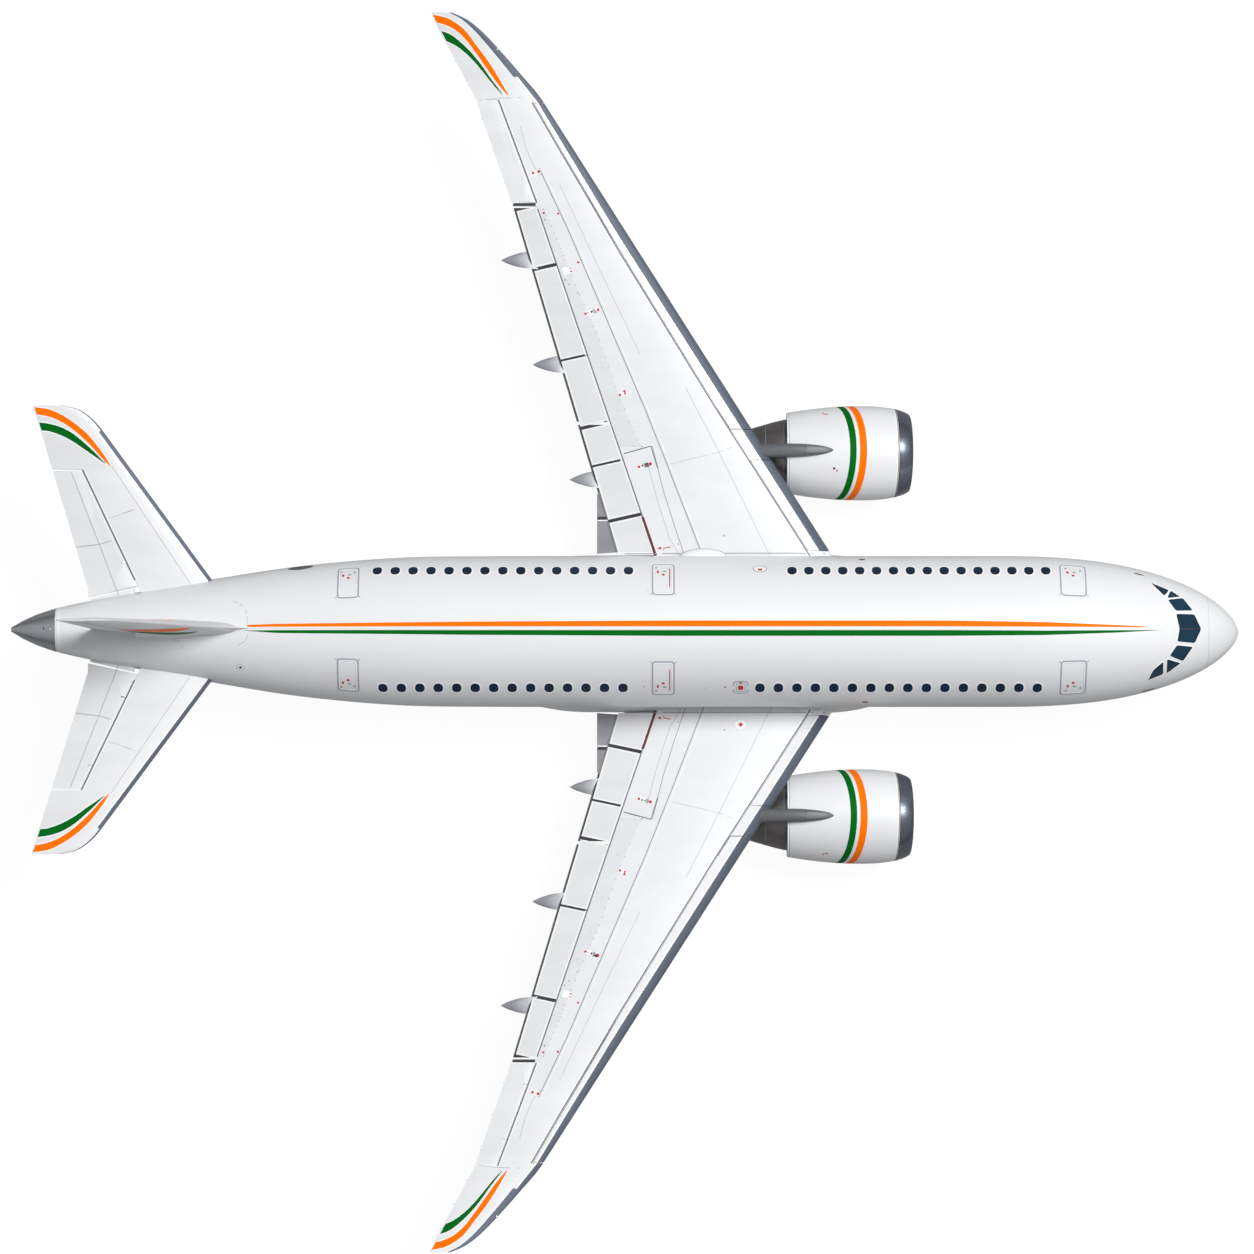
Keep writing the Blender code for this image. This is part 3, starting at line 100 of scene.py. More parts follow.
AILERON_SPAN = (16.43, 20.34)
AILERON_HINGE = ((16.39, -3.52), (20.34, -5.00))
SLATS = ((3.14, 6.64), (7.78, 20.24))
SLAT_DEPTH = ((3.1, 0.84), (8.6, 0.84), (15.4, 0.69), (20.3, 0.40))

# Horizontal stabilizer and fin; the fin's spans are heights
STAB_LE = ((0.6, -14.82), (7.61, -19.96), (8.10, -20.42), (8.40, -20.90), (8.53, -21.45))
STAB_TE = ((0.6, -20.215), (8.53, -22.58))
STAB_THICKNESS = ((0.6, 0.105), (8.53, 0.09))
STAB_Z = 0.92
STAB_TIP_Y = 7.61
ELEVATOR_HINGE = ((1.458, -18.58), (6.08, -20.77))
ELEVATOR_END_Y = 6.09
ELEVATOR_ROOT_Y = 1.66
FILLER_X = (-18.75, -20.42)  # front and rear end of the fixed strip at the elevator's root
FILLER_GAP = 0.07  # keeps it clear of the elevator at every pose
FILLER_SLANT = 0.22  # the elevator's root leans inboard by this much for each metre aft
FIN_LE = ((1.4, -13.90), (2.95, -15.05), (8.60, -18.88), (9.00, -19.30), (9.20, -19.95))
FIN_TE = ((1.4, -20.18), (9.20, -21.20))
FIN_THICKNESS = ((1.4, 0.10), (9.2, 0.09))
FIN_TIP_Z = 8.60
RUDDER_HINGE = ((2.20, -18.62), (9.20, -20.42))
RUDDER_SPAN = (2.30, 8.39)
FIN_FILLET = (  # station, half width at the hull
    (-14.2, 0.03), (-15.3, 0.20), (-15.9, 0.32), (-16.7, 0.43), (-17.6, 0.46), (-18.6, 0.42),
)
FILLET_LENGTH, FILLET_ROOT = 4.4, 0.45  # its length, and its depth in the hull
FILLET_FRONT_Z, FILLET_RISE, FILLET_SINK = 2.52, 1.45, 0.25  # its top in front, its rise, its fall aft

# Engines
ENGINE_Y = 7.00
ENGINE_Z = -2.60
COWL_OUTER = (
    (6.15, 1.555), (6.60, 1.63), (7.20, 1.71), (7.90, 1.78), (8.70, 1.815), (9.40, 1.81), (9.90, 1.77),
    (10.30, 1.705),
)
COWL_INNER = ((10.30, 1.43), (9.90, 1.415), (9.65, 1.475), (8.90, 1.475), (7.90, 1.52), (6.15, 1.515))
LIP = (
    (10.32, 1.702), (10.55, 1.635), (10.74, 1.555), (10.85, 1.475), (10.82, 1.44), (10.62, 1.425),
    (10.32, 1.43),
)
SCARF = 0.087
SCARF_FROM_X = 9.7
FAN_X = 9.28
FAN_RADIUS = 1.452
FAN_BLADES = 18
PYLON = (
    (7.98, 0.03, -0.86, -1.30), (7.70, 0.14, -0.72, -1.80), (7.30, 0.22, -0.63, -2.20),
    (6.60, 0.27, -0.60, -2.20), (5.70, 0.28, -0.74, -2.10), (4.90, 0.28, -0.95, -1.98),
    (4.00, 0.26, -1.00, -1.80), (3.00, 0.18, -1.05, -1.66), (2.20, 0.05, -1.10, -1.50),
)

# Landing gear
MAIN_X = 1.10
MAIN_Y = 4.90
WHEEL_RADIUS = 0.58
WHEEL_WIDTH = 0.42
WHEEL_TRACK = 0.96
BOGIE_BASE = 1.42
NOSE_GEAR_X = 17.50
NOSE_WHEEL_RADIUS = 0.50
NOSE_WHEEL_WIDTH = 0.34
NOSE_WHEEL_TRACK = 0.70

# The photograph: it is 1254 pixels wide, and this many of them span a metre at the fuselage's centre line
PHOTO_WIDTH = 1254
PIXELS_PER_METRE = 26.2
ORIGIN_PX = 627.0
AXIS_PY = 631.5
CAMERA_DISTANCE = 300.0
CAMERA_ROLL = math.radians(2.75)
SENSOR = 36.0


# Reading tables
def table(points, at):
    """Straight-line reading of a table, held at its ends."""
    rows = sorted(points)
    if at <= rows[0][0]:
        return rows[0][1]
    for (a, va), (b, vb) in zip(rows, rows[1:]):
        if at <= b:
            return va + (vb - va) * (at - a) / (b - a)
    return rows[-1][1]


def line(ends, at):
    """Reading of the straight line through two ends, also past them."""
    (a, va), (b, vb) = ends
    return va + (vb - va) * (at - a) / (b - a)


def smooth_table(points, at):
    """Reading of a table with a smooth curve through its points."""
    rows = sorted(points)
    if at <= rows[0][0]:
        return rows[0][1]
    if at >= rows[-1][0]:
        return rows[-1][1]
    i = max(k for k in range(len(rows) - 1) if rows[k][0] <= at)

    def slope(k):
        before = rows[max(k - 1, 0)]
        after = rows[min(k + 1, len(rows) - 1)]
        return (after[1] - before[1]) / (after[0] - before[0])

    (a, va), (b, vb) = rows[i], rows[i + 1]
    h = b - a
    t = (at - a) / h
    return (
        va * (1 + 2 * t) * (1 - t) ** 2
        + vb * t * t * (3 - 2 * t)
        + h * t * (1 - t) * (slope(i) * (1 - t) - slope(i + 1) * t)
    )


def spread(start, end, count):
    """Evenly spaced values from start to end."""
    return [start + (end - start) * k / (count - 1) for k in range(count)]


def column(rows, n):
    """The first and the nth value of each row, as a table."""
    return [(row[0], row[n]) for row in rows]


def around(count):
    """Angles of points spaced evenly round a circle."""
    return [2 * math.pi * k / count for k in range(count)]


def signed_power(value, power):
    """A power that keeps the sign; below 1 it makes a round section squarer."""
    return math.copysign(abs(value) ** power, value)


def to_model(point):
    x, y, z = point
    return Vector((x * SCALE, y * SCALE, (z + STAND) * SCALE))


# Materials
MATERIALS = {}


def wire(tree, source, socket):
    tree.links.new(source, socket)


def surface(name, colour, rough=0.35, metal=0.0, tint=0.04, grain=6.0, stretch=(1, 1, 1), bump=0.0,
            coat=0.0, rough_spread=0.08, shine=0.5):
    """A painted or metal surface whose tint, gloss and height vary a little, as a used one's do."""
    material = bpy.data.materials.new(name)
    material.use_nodes = True
    tree = material.node_tree
    shader = tree.nodes["Principled BSDF"]
    shader.inputs["Metallic"].default_value = metal
    shader.inputs["Coat Weight"].default_value = coat
    shader.inputs["Coat Roughness"].default_value = 0.12
    shader.inputs["Specular IOR Level"].default_value = shine
    where = tree.nodes.new("ShaderNodeTexCoord")
    mapping = tree.nodes.new("ShaderNodeMapping")
    mapping.inputs["Scale"].default_value = stretch
    noise = tree.nodes.new("ShaderNodeTexNoise")
    noise.inputs["Scale"].default_value = grain
    noise.inputs["Detail"].default_value = 5.0
    wire(tree, where.outputs["Object"], mapping.inputs["Vector"])
    wire(tree, mapping.outputs["Vector"], noise.inputs["Vector"])
    ramp = tree.nodes.new("ShaderNodeValToRGB")
    low, high = ramp.color_ramp.elements
    low.position, high.position = 0.3, 0.7
    low.color = (*[max(c * (1 - tint), 0.0) for c in colour], 1)
    high.color = (*[min(c * (1 + tint), 1.0) for c in colour], 1)
    wire(tree, noise.outputs["Fac"], ramp.inputs["Fac"])
    wire(tree, ramp.outputs["Color"], shader.inputs["Base Color"])
    gloss = tree.nodes.new("ShaderNodeMapRange")
    gloss.inputs["To Min"].default_value = max(rough - rough_spread, 0.03)
    gloss.inputs["To Max"].default_value = rough + rough_spread
    wire(tree, noise.outputs["Fac"], gloss.inputs["Value"])
    wire(tree, gloss.outputs["Result"], shader.inputs["Roughness"])
    if bump:
        fine = tree.nodes.new("ShaderNodeTexNoise")
        fine.inputs["Scale"].default_value = grain * 9
        fine.inputs["Detail"].default_value = 4.0
        wire(tree, mapping.outputs["Vector"], fine.inputs["Vector"])
        height = tree.nodes.new("ShaderNodeBump")
        height.inputs["Strength"].default_value = bump
        height.inputs["Distance"].default_value = 0.002
        wire(tree, fine.outputs["Fac"], height.inputs["Height"])
        wire(tree, height.outputs["Normal"], shader.inputs["Normal"])
    MATERIALS[name] = material
    return material


surface("hull_paint", (0.75, 0.76, 0.77), 0.34, tint=0.004, grain=1.6, bump=0.01, coat=0.1,
        rough_spread=0.01)
# Painted shade: the fin's paint is the hull's white, darkened all over to stand in for its shaded side
surface("fin_paint", (0.58, 0.59, 0.60), 0.34, tint=0.01, grain=1.6, bump=0.015, coat=0.2)
surface("joint_line", (0.64, 0.65, 0.66), 0.45, tint=0.03, grain=9.0)
surface("wing_paint", (0.735, 0.745, 0.755), 0.42, tint=0.03, grain=2.2, stretch=(0.35, 1, 1), bump=0.06)
surface("tail_paint", (0.735, 0.745, 0.755), 0.42, tint=0.03, grain=2.2, stretch=(0.35, 1, 1), bump=0.06)
surface("spoiler_paint", (0.70, 0.71, 0.715), 0.42, tint=0.03, grain=2.6, stretch=(0.35, 1, 1), bump=0.06)
# Painted shade: the flaps' grey made much darker for the inboard flap's exposed top, which lies low in
# shade behind the spoilers
surface("flap_paint", (0.235, 0.235, 0.255), 0.5, tint=0.10, grain=3.0, stretch=(0.3, 1, 1), bump=0.08)
# Painted reflection: the bare leading-edge metal has a dark blue-grey colour and little metal of its own,
# standing in for its reflection of a dark sky
surface("edge_metal", (0.10, 0.12, 0.155), 0.50, metal=0.1, shine=0.2, tint=0.06, grain=5.0,
        stretch=(1, 0.2, 1), bump=0.03)
surface("seam", (0.16, 0.165, 0.18), 0.6, tint=0.1, grain=9.0)
surface("fine_line", (0.42, 0.43, 0.45), 0.5, tint=0.08, grain=9.0)
# Painted shade: black for the gaps and holes where only shade is seen; the spinner's front cone uses it
# too
surface("dark_gap", (0.03, 0.03, 0.035), 0.7, tint=0.2, grain=9.0)
surface("orange", (0.98, 0.165, 0.0), 0.50, tint=0.02, grain=4.0, bump=0.01, shine=0.05)
surface("green", (0.0, 0.125, 0.010), 0.50, tint=0.05, grain=4.0, bump=0.01, shine=0.05)
surface("bay_primer", (0.30, 0.36, 0.31), 0.55, tint=0.10, grain=7.0, bump=0.15)
# Painted reflection: polished metal with a dark blue-grey base that stands in for its reflection of a dark
# sky
surface("lip_metal", (0.17, 0.195, 0.235), 0.26, metal=0.8, tint=0.04, grain=8.0, stretch=(3, 1, 1),
        bump=0.02)
surface("core_metal", (0.20, 0.185, 0.18), 0.38, metal=0.85, tint=0.14, grain=7.0, stretch=(0.4, 1, 1),
        bump=0.10)
surface("duct_metal", (0.16, 0.165, 0.17), 0.5, metal=0.6, tint=0.10, grain=8.0, bump=0.1)
surface("fan_titanium", (0.20, 0.21, 0.225), 0.30, metal=0.85, tint=0.08, grain=12.0, stretch=(1, 6, 6),
        bump=0.03)
surface("pylon_paint", (0.14, 0.145, 0.155), 0.50, metal=0.2, tint=0.05, grain=3.0, stretch=(0.3, 1, 1),
        bump=0.05)
surface("tail_metal", (0.52, 0.54, 0.56), 0.28, metal=0.92, tint=0.03, grain=6.0, stretch=(3, 1, 1),
        bump=0.01)
surface("gear_grey", (0.56, 0.58, 0.60), 0.38, metal=0.1, tint=0.08, grain=9.0, bump=0.08)
surface("chrome", (0.62, 0.63, 0.65), 0.10, metal=1.0, tint=0.02, grain=20.0)
surface("steel", (0.34, 0.35, 0.37), 0.35, metal=0.9, tint=0.08, grain=14.0, bump=0.05)
surface("tyre", (0.022, 0.022, 0.024), 0.75, tint=0.25, grain=16.0, bump=0.35)
surface("rim", (0.62, 0.64, 0.66), 0.35, metal=0.35, tint=0.06, grain=14.0, bump=0.05)
surface("glass", (0.010, 0.034, 0.060), 0.16, tint=0.25, grain=1.4, coat=0.15, rough_spread=0.03,
        shine=0.3)
surface("window_glass", (0.006, 0.020, 0.044), 0.30, tint=0.2, grain=1.4, coat=0.05, rough_spread=0.03,
        shine=0.15)
# Real white trim; also the thin white lines beside seams and panel edges, which are painted highlights of
# their lit edges
surface("white_trim", (0.88, 0.88, 0.89), 0.35, tint=0.02, grain=6.0)
surface("red_mark", (0.55, 0.02, 0.015), 0.4, tint=0.08, grain=12.0)
surface("rubber_seal", (0.05, 0.05, 0.055), 0.65, tint=0.15, grain=20.0)
surface("door_seam", (0.36, 0.375, 0.43), 0.45, tint=0.08, grain=9.0)
surface("line_grey", (0.33, 0.33, 0.35), 0.5, tint=0.08, grain=9.0)
surface("brown_mark", (0.14, 0.055, 0.045), 0.55, tint=0.15, grain=12.0)
surface("dark_red", (0.16, 0.012, 0.012), 0.5, tint=0.1, grain=12.0)
surface("band_white", (0.69, 0.70, 0.71), 0.42, tint=0.03, grain=3.0, stretch=(0.35, 1, 1))
surface("blister_white", (0.84, 0.845, 0.85), 0.35, tint=0.015, grain=3.0, bump=0.03, coat=0.2)
# Painted shade: the flap's rear strip behind the spoilers, painted dark brown-grey for the shade it lies
# in
surface("flap_edge", (0.20, 0.19, 0.18), 0.5, metal=0.3, tint=0.2, grain=5.0, stretch=(0.5, 1, 1),
        bump=0.08)
surface("fairing_silver", (0.36, 0.37, 0.39), 0.45, metal=0.35, tint=0.06, grain=5.0, stretch=(0.3, 1, 1),
        bump=0.04)
surface("red_lamp", (0.55, 0.01, 0.01), 0.08, tint=0.1, grain=9.0, coat=1.0)
surface("green_lamp", (0.01, 0.35, 0.08), 0.08, tint=0.1, grain=9.0, coat=1.0)
surface("clear_lamp", (0.72, 0.74, 0.76), 0.06, metal=0.6, tint=0.05, grain=9.0, coat=1.0)


# Shapes of the airframe
def hull_radius(x):
    if x > NOSE_START_X:
        share = min((x - NOSE_START_X) / (NOSE_X - NOSE_START_X), 1.0)
        return RADIUS * (1 - share ** NOSE_POWER) ** NOSE_ROUND
    if x < TAIL_RADII[0][0]:
        return smooth_table(TAIL_RADII, x)
    return RADIUS


def hull_centre(x):
    if x > NOSE_START_X:
        return -NOSE_DROP * (1 - hull_radius(x) / RADIUS)
    return TAIL_RISE * (RADIUS - hull_radius(x)) if x < 0 else 0.0


def on_hull(x, angle):
    """A point of the hull, at an angle from the crown that grows towards port."""
    radius = hull_radius(x)
    return Vector((x, radius * math.sin(angle), hull_centre(x) + radius * math.cos(angle)))


class Foil:
    """A thin lifting surface: edges and thickness along a span, and how it stands in space."""

    def __init__(self, leading, trailing, thickness, tip, stand):
        self.leading = leading
        self.trailing = trailing
        self.thickness = thickness
        self.tip = tip  # span past which the plan is a smooth curve
        self.stand = stand

    def le(self, s):
        return (smooth_table if s > self.tip else table)(self.leading, s)

    def te(self, s):
        return (smooth_table if s > self.tip else table)(self.trailing, s)

    def half(self, x, s):
        front, back = self.le(s), self.te(s)
        share = min(max((front - x) / (front - back), 0.0), 1.0)
        shape = 0.2969 * math.sqrt(share) - 0.126 * share - 0.3516 * share ** 2
        shape += 0.2843 * share ** 3 - 0.1036 * share ** 4
        return 5 * table(self.thickness, s) * shape * (front - back) + EDGE / 2 * share

    def at(self, x, s, side=1, height=0.0):
        """A point of a skin, side 1 or -1; side 0 gives the mid surface and a height off it."""
        return Vector(self.stand(x, s, side * self.half(x, s) + height))


def wing_mid(y):
    rise = WING_Z + (y - WING_ROOT_Y) * math.tan(DIHEDRAL)
    return rise + TIP_CURVE * max(y - TIP_CURVE_Y, 0.0) ** 2


WING = Foil(WING_LE, WING_TE, WING_THICKNESS, TIP_CURVE_Y, lambda x, s, h: (x, s, wing_mid(s) + h))
STAB = Foil(
    STAB_LE, STAB_TE, STAB_THICKNESS, STAB_TIP_Y,
    lambda x, s, h: (x, s, STAB_Z + (s - 1.5) * math.tan(DIHEDRAL) + h),
)
FIN = Foil(FIN_LE, FIN_TE, FIN_THICKNESS, FIN_TIP_Z, lambda x, s, h: (x, h, s))


def wing_top(x, y):
    return WING.at(x, y)


def wing_under(x, y):
    return WING.at(x, y, -1)


def stab_top(x, y):
    return STAB.at(x, y)


def normal_of(shape, u, v):
    """Unit normal of a surface that is a function of two values."""
    step = 0.01
    along = shape(u + step, v) - shape(u - step, v)
    across = shape(u, v + step) - shape(u, v - step)
    return along.cross(across).normalized()


SHARP_ANGLE = math.radians(38.0)  # edges bent by more than this stay sharp


class Shell:
    """Points and faces of one piece, gathered in full-size metres."""

    def __init__(self):
        self.points = []
        self.faces = []
        self.paints = []

    def add(self, points):
        first = len(self.points)
        self.points += [Vector(p) for p in points]
        return list(range(first, len(self.points)))

    def face(self, corners, paint):
        self.faces.append(corners)
        self.paints.append(paint)

    def rows(self, rows, paint, closed=True, caps=False, skip=None):
        """A skin over rows of points; paint is a name or gives one for a row and a column."""
        grid = [self.add(row) for row in rows]
        wide = len(grid[0])
        for i in range(len(grid) - 1):
            for j in range(wide if closed else wide - 1):
                k = (j + 1) % wide
                if not (skip and skip(i, j)):
                    name = paint(i, j) if callable(paint) else paint
                    self.face([grid[i][j], grid[i][k], grid[i + 1][k], grid[i + 1][j]], name)
        if caps:
            name = paint(0, 0) if callable(paint) else paint
            self.face(grid[0][::-1], name)
            self.face(grid[-1], name)
        return grid

    def strip(self, path, shape, width, paint, lift=0.003, depth=0.004, sign=1, closed=False):
        """A flat closed ribbon that lies on a surface along a path of its two values."""
        count = len(path)
        rings = []
        for k, (u, v) in enumerate(path):
            here = shape(u, v)
            normal = normal_of(shape, u, v) * sign
            before = path[k - 1] if closed or k else path[0]
            after = path[(k + 1) % count] if closed or k < count - 1 else path[k]
            run = shape(*after) - shape(*before)
            aside = normal.cross(run).normalized() * (width / 2)
            top, low = here + normal * lift, here - normal * depth
            rings.append([top + aside, top - aside, low - aside, low + aside])
        if closed:
            rings.append(rings[0])
        self.rows(rings, paint, caps=not closed)

    def patch(self, outline, shape, paint, lift=0.004, depth=0.004, sign=1, rings=(1.0, 0.5)):
        """A thin closed plate with a convex outline, given in a surface's two values."""
        mid_u = sum(u for u, _ in outline) / len(outline)
        mid_v = sum(v for _, v in outline) / len(outline)

        def level(share, height):
            row = []
            for u, v in outline:
                at = (mid_u + (u - mid_u) * share, mid_v + (v - mid_v) * share)
                row.append(shape(*at) + normal_of(shape, *at) * sign * height)
            return row

        rows = [level(1.0, -depth), *[level(share, lift) for share in rings]]
        self.rows(rows, paint, caps=True)

    def tube(self, path, radius, paint, sides=10):
        """A round bar along points; radius is a number or one for each point."""
        points = [Vector(p) for p in path]
        radii = radius if isinstance(radius, (list, tuple)) else [radius] * len(points)
        run = points[1] - points[0]
        helper = Vector((0, 0, 1)) if abs(run.normalized().z) < 0.9 else Vector((0, 1, 0))
        across = run.cross(helper).normalized()
        rings = []
        for k, here in enumerate(points):
            run = (points[min(k + 1, len(points) - 1)] - points[max(k - 1, 0)]).normalized()
            across = (across - run * across.dot(run)).normalized()
            other = run.cross(across)
            rings.append([here + (across * math.cos(a) + other * math.sin(a)) * radii[k]
                          for a in around(sides)])
        self.rows(rings, paint, caps=True)

    def lathe(self, profile, centre, axis, paint, sides=48, closed=False):
        """A turned shape about a line along axis X or Y; the profile holds (place, radius)."""
        rings = []
        for at, radius in profile:
            ring = [(centre[0] + radius * math.sin(a), centre[1] + radius * math.cos(a))
                    for a in around(sides)]
            rings.append([(at, across, up) if axis == "X" else (across, at, up) for across, up in ring])
        if closed:
            rings.append(rings[0])
        self.rows(rings, paint, caps=not closed)

    def lathe_z(self, centre, profile, paint, sides=32):
        """A turned shape about an upright line; the profile holds (height, radius)."""
        rings = [
            [(centre[0] + radius * math.cos(a), centre[1] + radius * math.sin(a), z)
             for a in around(sides)]
            for z, radius in profile
        ]
        self.rows(rings, paint, caps=True)

    def box(self, low, high, paint):
        (a, b, c), (d, e, f) = low, high
        self.rows([[(x, b, c), (x, e, c), (x, e, f), (x, b, f)] for x in (a, d)], paint, caps=True)

    def build(self, name, body, slot, replaces=(), side=1):
        """Makes the piece; side -1 mirrors it to starboard."""
        mesh = bpy.data.meshes.new(name)
        order = 1 if side > 0 else -1
        mesh.from_pydata(
            [to_model((p.x, p.y * side, p.z)) for p in self.points], [], [f[::order] for f in self.faces],
        )
        names = sorted(set(self.paints))
        for paint in names:
            mesh.materials.append(MATERIALS[paint])
        mesh.polygons.foreach_set("material_index", [names.index(p) for p in self.paints])
        shape = bmesh.new()
        shape.from_mesh(mesh)
        bmesh.ops.remove_doubles(shape, verts=shape.verts, dist=2e-5)
        bmesh.ops.dissolve_degenerate(shape, edges=shape.edges, dist=2e-5)
        bmesh.ops.recalc_face_normals(shape, faces=shape.faces)
        shape.to_mesh(mesh)
        shape.free()
        mesh.shade_smooth()
        mesh.set_sharp_from_angle(angle=SHARP_ANGLE)
        piece = bpy.data.objects.new(name, mesh)
        bpy.context.scene.collection.objects.link(piece)
        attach(piece, body)
        if replaces:
            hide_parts(*replaces)
        return piece


SIDES = ((1, "left"), (-1, "right"))


def build_both(shell, name, body, slot, replaces=()):
    """The same piece to port and, mirrored, to starboard; {} in a name stands for the side."""
    for side, word in SIDES:
        nodes = [node.format(word) for node in replaces]
        shell.build(name.format(word), body.format(word), slot, nodes, side)


# Fuselage
STRIPES = {  # station, distance of the outer and the inner edge from the crown, to port
    "orange": (
        (-14.37, 0.13, 0.05), (-13.2, 0.165, 0.055), (-6.0, 0.24, 0.06), (1.5, 0.28, 0.06),
        (12.0, 0.28, 0.06), (15.8, 0.225, 0.045), (18.5, 0.135, 0.045), (19.4, 0.10, 0.05),
        (19.86, 0.058, 0.054),
    ),
    "green": (
        (-14.52, -0.09, -0.085), (-13.2, -0.185, -0.075), (-6.0, -0.26, -0.08), (1.5, -0.30, -0.08),
        (12.0, -0.30, -0.08), (15.8, -0.27, -0.10), (18.5, -0.165, -0.07), (19.4, -0.10, -0.055),
        (20.27, -0.042, -0.038),
    ),
}
STRIPE_ENDS = {paint: (rows[0][0], rows[-1][0]) for paint, rows in STRIPES.items()}
SIDE_POINTS = 37  # of a section, on each side between stripe and keel
KEEL_STEPS = 6
STRIPE_COLUMNS = {SIDE_POINTS - 1: "green", SIDE_POINTS + 1: "orange"}
KEEL_COLUMNS = range(2 * SIDE_POINTS + 1, 2 * SIDE_POINTS + 1 + KEEL_STEPS)
NOSE_TIP_X = NOSE_X - 0.004  # the skin's last section


def hull_angles(x):
    """Angles of a section's corners, with corners on the stripes' edges and on the nose bay's edges."""
    radius = hull_radius(x)
    marks = [table(column(STRIPES["green"], n), x) for n in (1, 2)]
    marks += [table(column(STRIPES["orange"], n), x) for n in (2, 1)]
    edges = [math.asin(min(max(y / radius, -0.5), 0.5)) for y in marks]
    keel = math.asin(min(BAY_HALF_WIDTH / radius, 0.34))
    angles = spread(-math.pi + keel, edges[0], SIDE_POINTS)
    angles += edges[1:3]
    angles += spread(edges[3], math.pi - keel, SIDE_POINTS)
    angles += [math.pi - keel + 2 * keel * k / KEEL_STEPS for k in range(1, KEEL_STEPS)]
    return angles


def hull_stations(start, end):
    nose = [NOSE_X - (NOSE_X - NOSE_START_X) * (1 - math.sin(math.pi / 2 * k / 34)) for k in range(34)]
    nose.append(NOSE_TIP_X)
    tail = spread(-23.38, -4.5, 42)
    middle = [*spread(-3.6, 13.2, 20), *BAY_X, *[x for ends in STRIPE_ENDS.values() for x in ends]]
    inside = sorted(x for x in tail + middle + nose if start + 0.05 < x < end - 0.05)
    return [start, *inside, end]


def stripe_paint(base, stations):
    def paint(i, j):
        if j not in STRIPE_COLUMNS:
            return base
        start, end = STRIPE_ENDS[STRIPE_COLUMNS[j]]
        return STRIPE_COLUMNS[j] if start < (stations[i] + stations[i + 1]) / 2 < end else base
    return paint


def build_hull():
    for name, start, end, base, slot in (
        ("fuselage", TAIL_CONE_X + SEAM, RADOME_X - SEAM, "hull_paint", "hull_white"),
        ("nose_radome", RADOME_X + SEAM, NOSE_TIP_X, "hull_paint", "hull_white"),
        ("tail_cone", TAIL_X + 0.02, TAIL_CONE_X - SEAM, "tail_metal", "leading_edge_metal"),
    ):
        stations = hull_stations(start, end)
        shell = Shell()
        rows = [[on_hull(x, a) for a in hull_angles(x)] for x in stations]
        bay = [i for i, x in enumerate(stations) if BAY_X[0] - 0.01 < x < BAY_X[1] + 0.01]

        def in_bay(i, j):
            return i in bay[:-1] and j in KEEL_COLUMNS

        shell.rows(rows, stripe_paint(base, stations), caps=True, skip=in_bay)
        if bay:
            columns = [*KEEL_COLUMNS, 0]
            roof = [[Vector((p.x, p.y, BAY_ROOF)) for p in (rows[i][j] for j in columns)] for i in bay]
            shell.rows(roof, "bay_primer", closed=False)
            for j in (0, -1):
                edge = [rows[i][columns[j]] for i in bay]
                shell.rows([edge, [r[j] for r in roof]], "bay_primer", closed=False)
            for k, i in ((0, bay[0]), (-1, bay[-1])):
                shell.rows([[rows[i][j] for j in columns], roof[k]], "bay_primer", closed=False)
        shell.build("skin_" + name, "airframe", slot, [name])


def fairing_section(x):
    """Half width, middle height and half height of the belly fairing."""
    half, low = (smooth_table(column(FAIRING, n), x) for n in (1, 2))
    return half, (FAIRING_TOP + low) / 2, (FAIRING_TOP - low) / 2


def build_belly():
    shell = Shell()
    rings = []
    for x in [*spread(FAIRING[0][0], -0.6, 14), *spread(0.4, 6.0, 6), *spread(6.6, FAIRING[-1][0], 13)]:
        half, centre, tall = fairing_section(x)
        rings.append([
            (x, half * signed_power(math.sin(a), FAIRING_POWERS[0]),
             centre + tall * signed_power(math.cos(a), FAIRING_POWERS[1]))
            for a in around(72)
        ])
    shell.rows(rings, "hull_paint", caps=True)
    shell.build("skin_belly_fairing", "airframe", "hull_white", ["belly_fairing"])


# Wings and tail surfaces
LIP_REACH = 0.45  # how far a skin reaches over a round nose, as a share of the nose's radius
SLAT_HOLLOW = ((0.70, 0.06), (0.42, 0.25), (0.33, 0.55), (0.42, 0.84))
SLAT_ROOM = 0.014
REAR_POINTS, SKIN_POINTS = 5, 11  # of a section's upper side: behind the break, then up to the nose


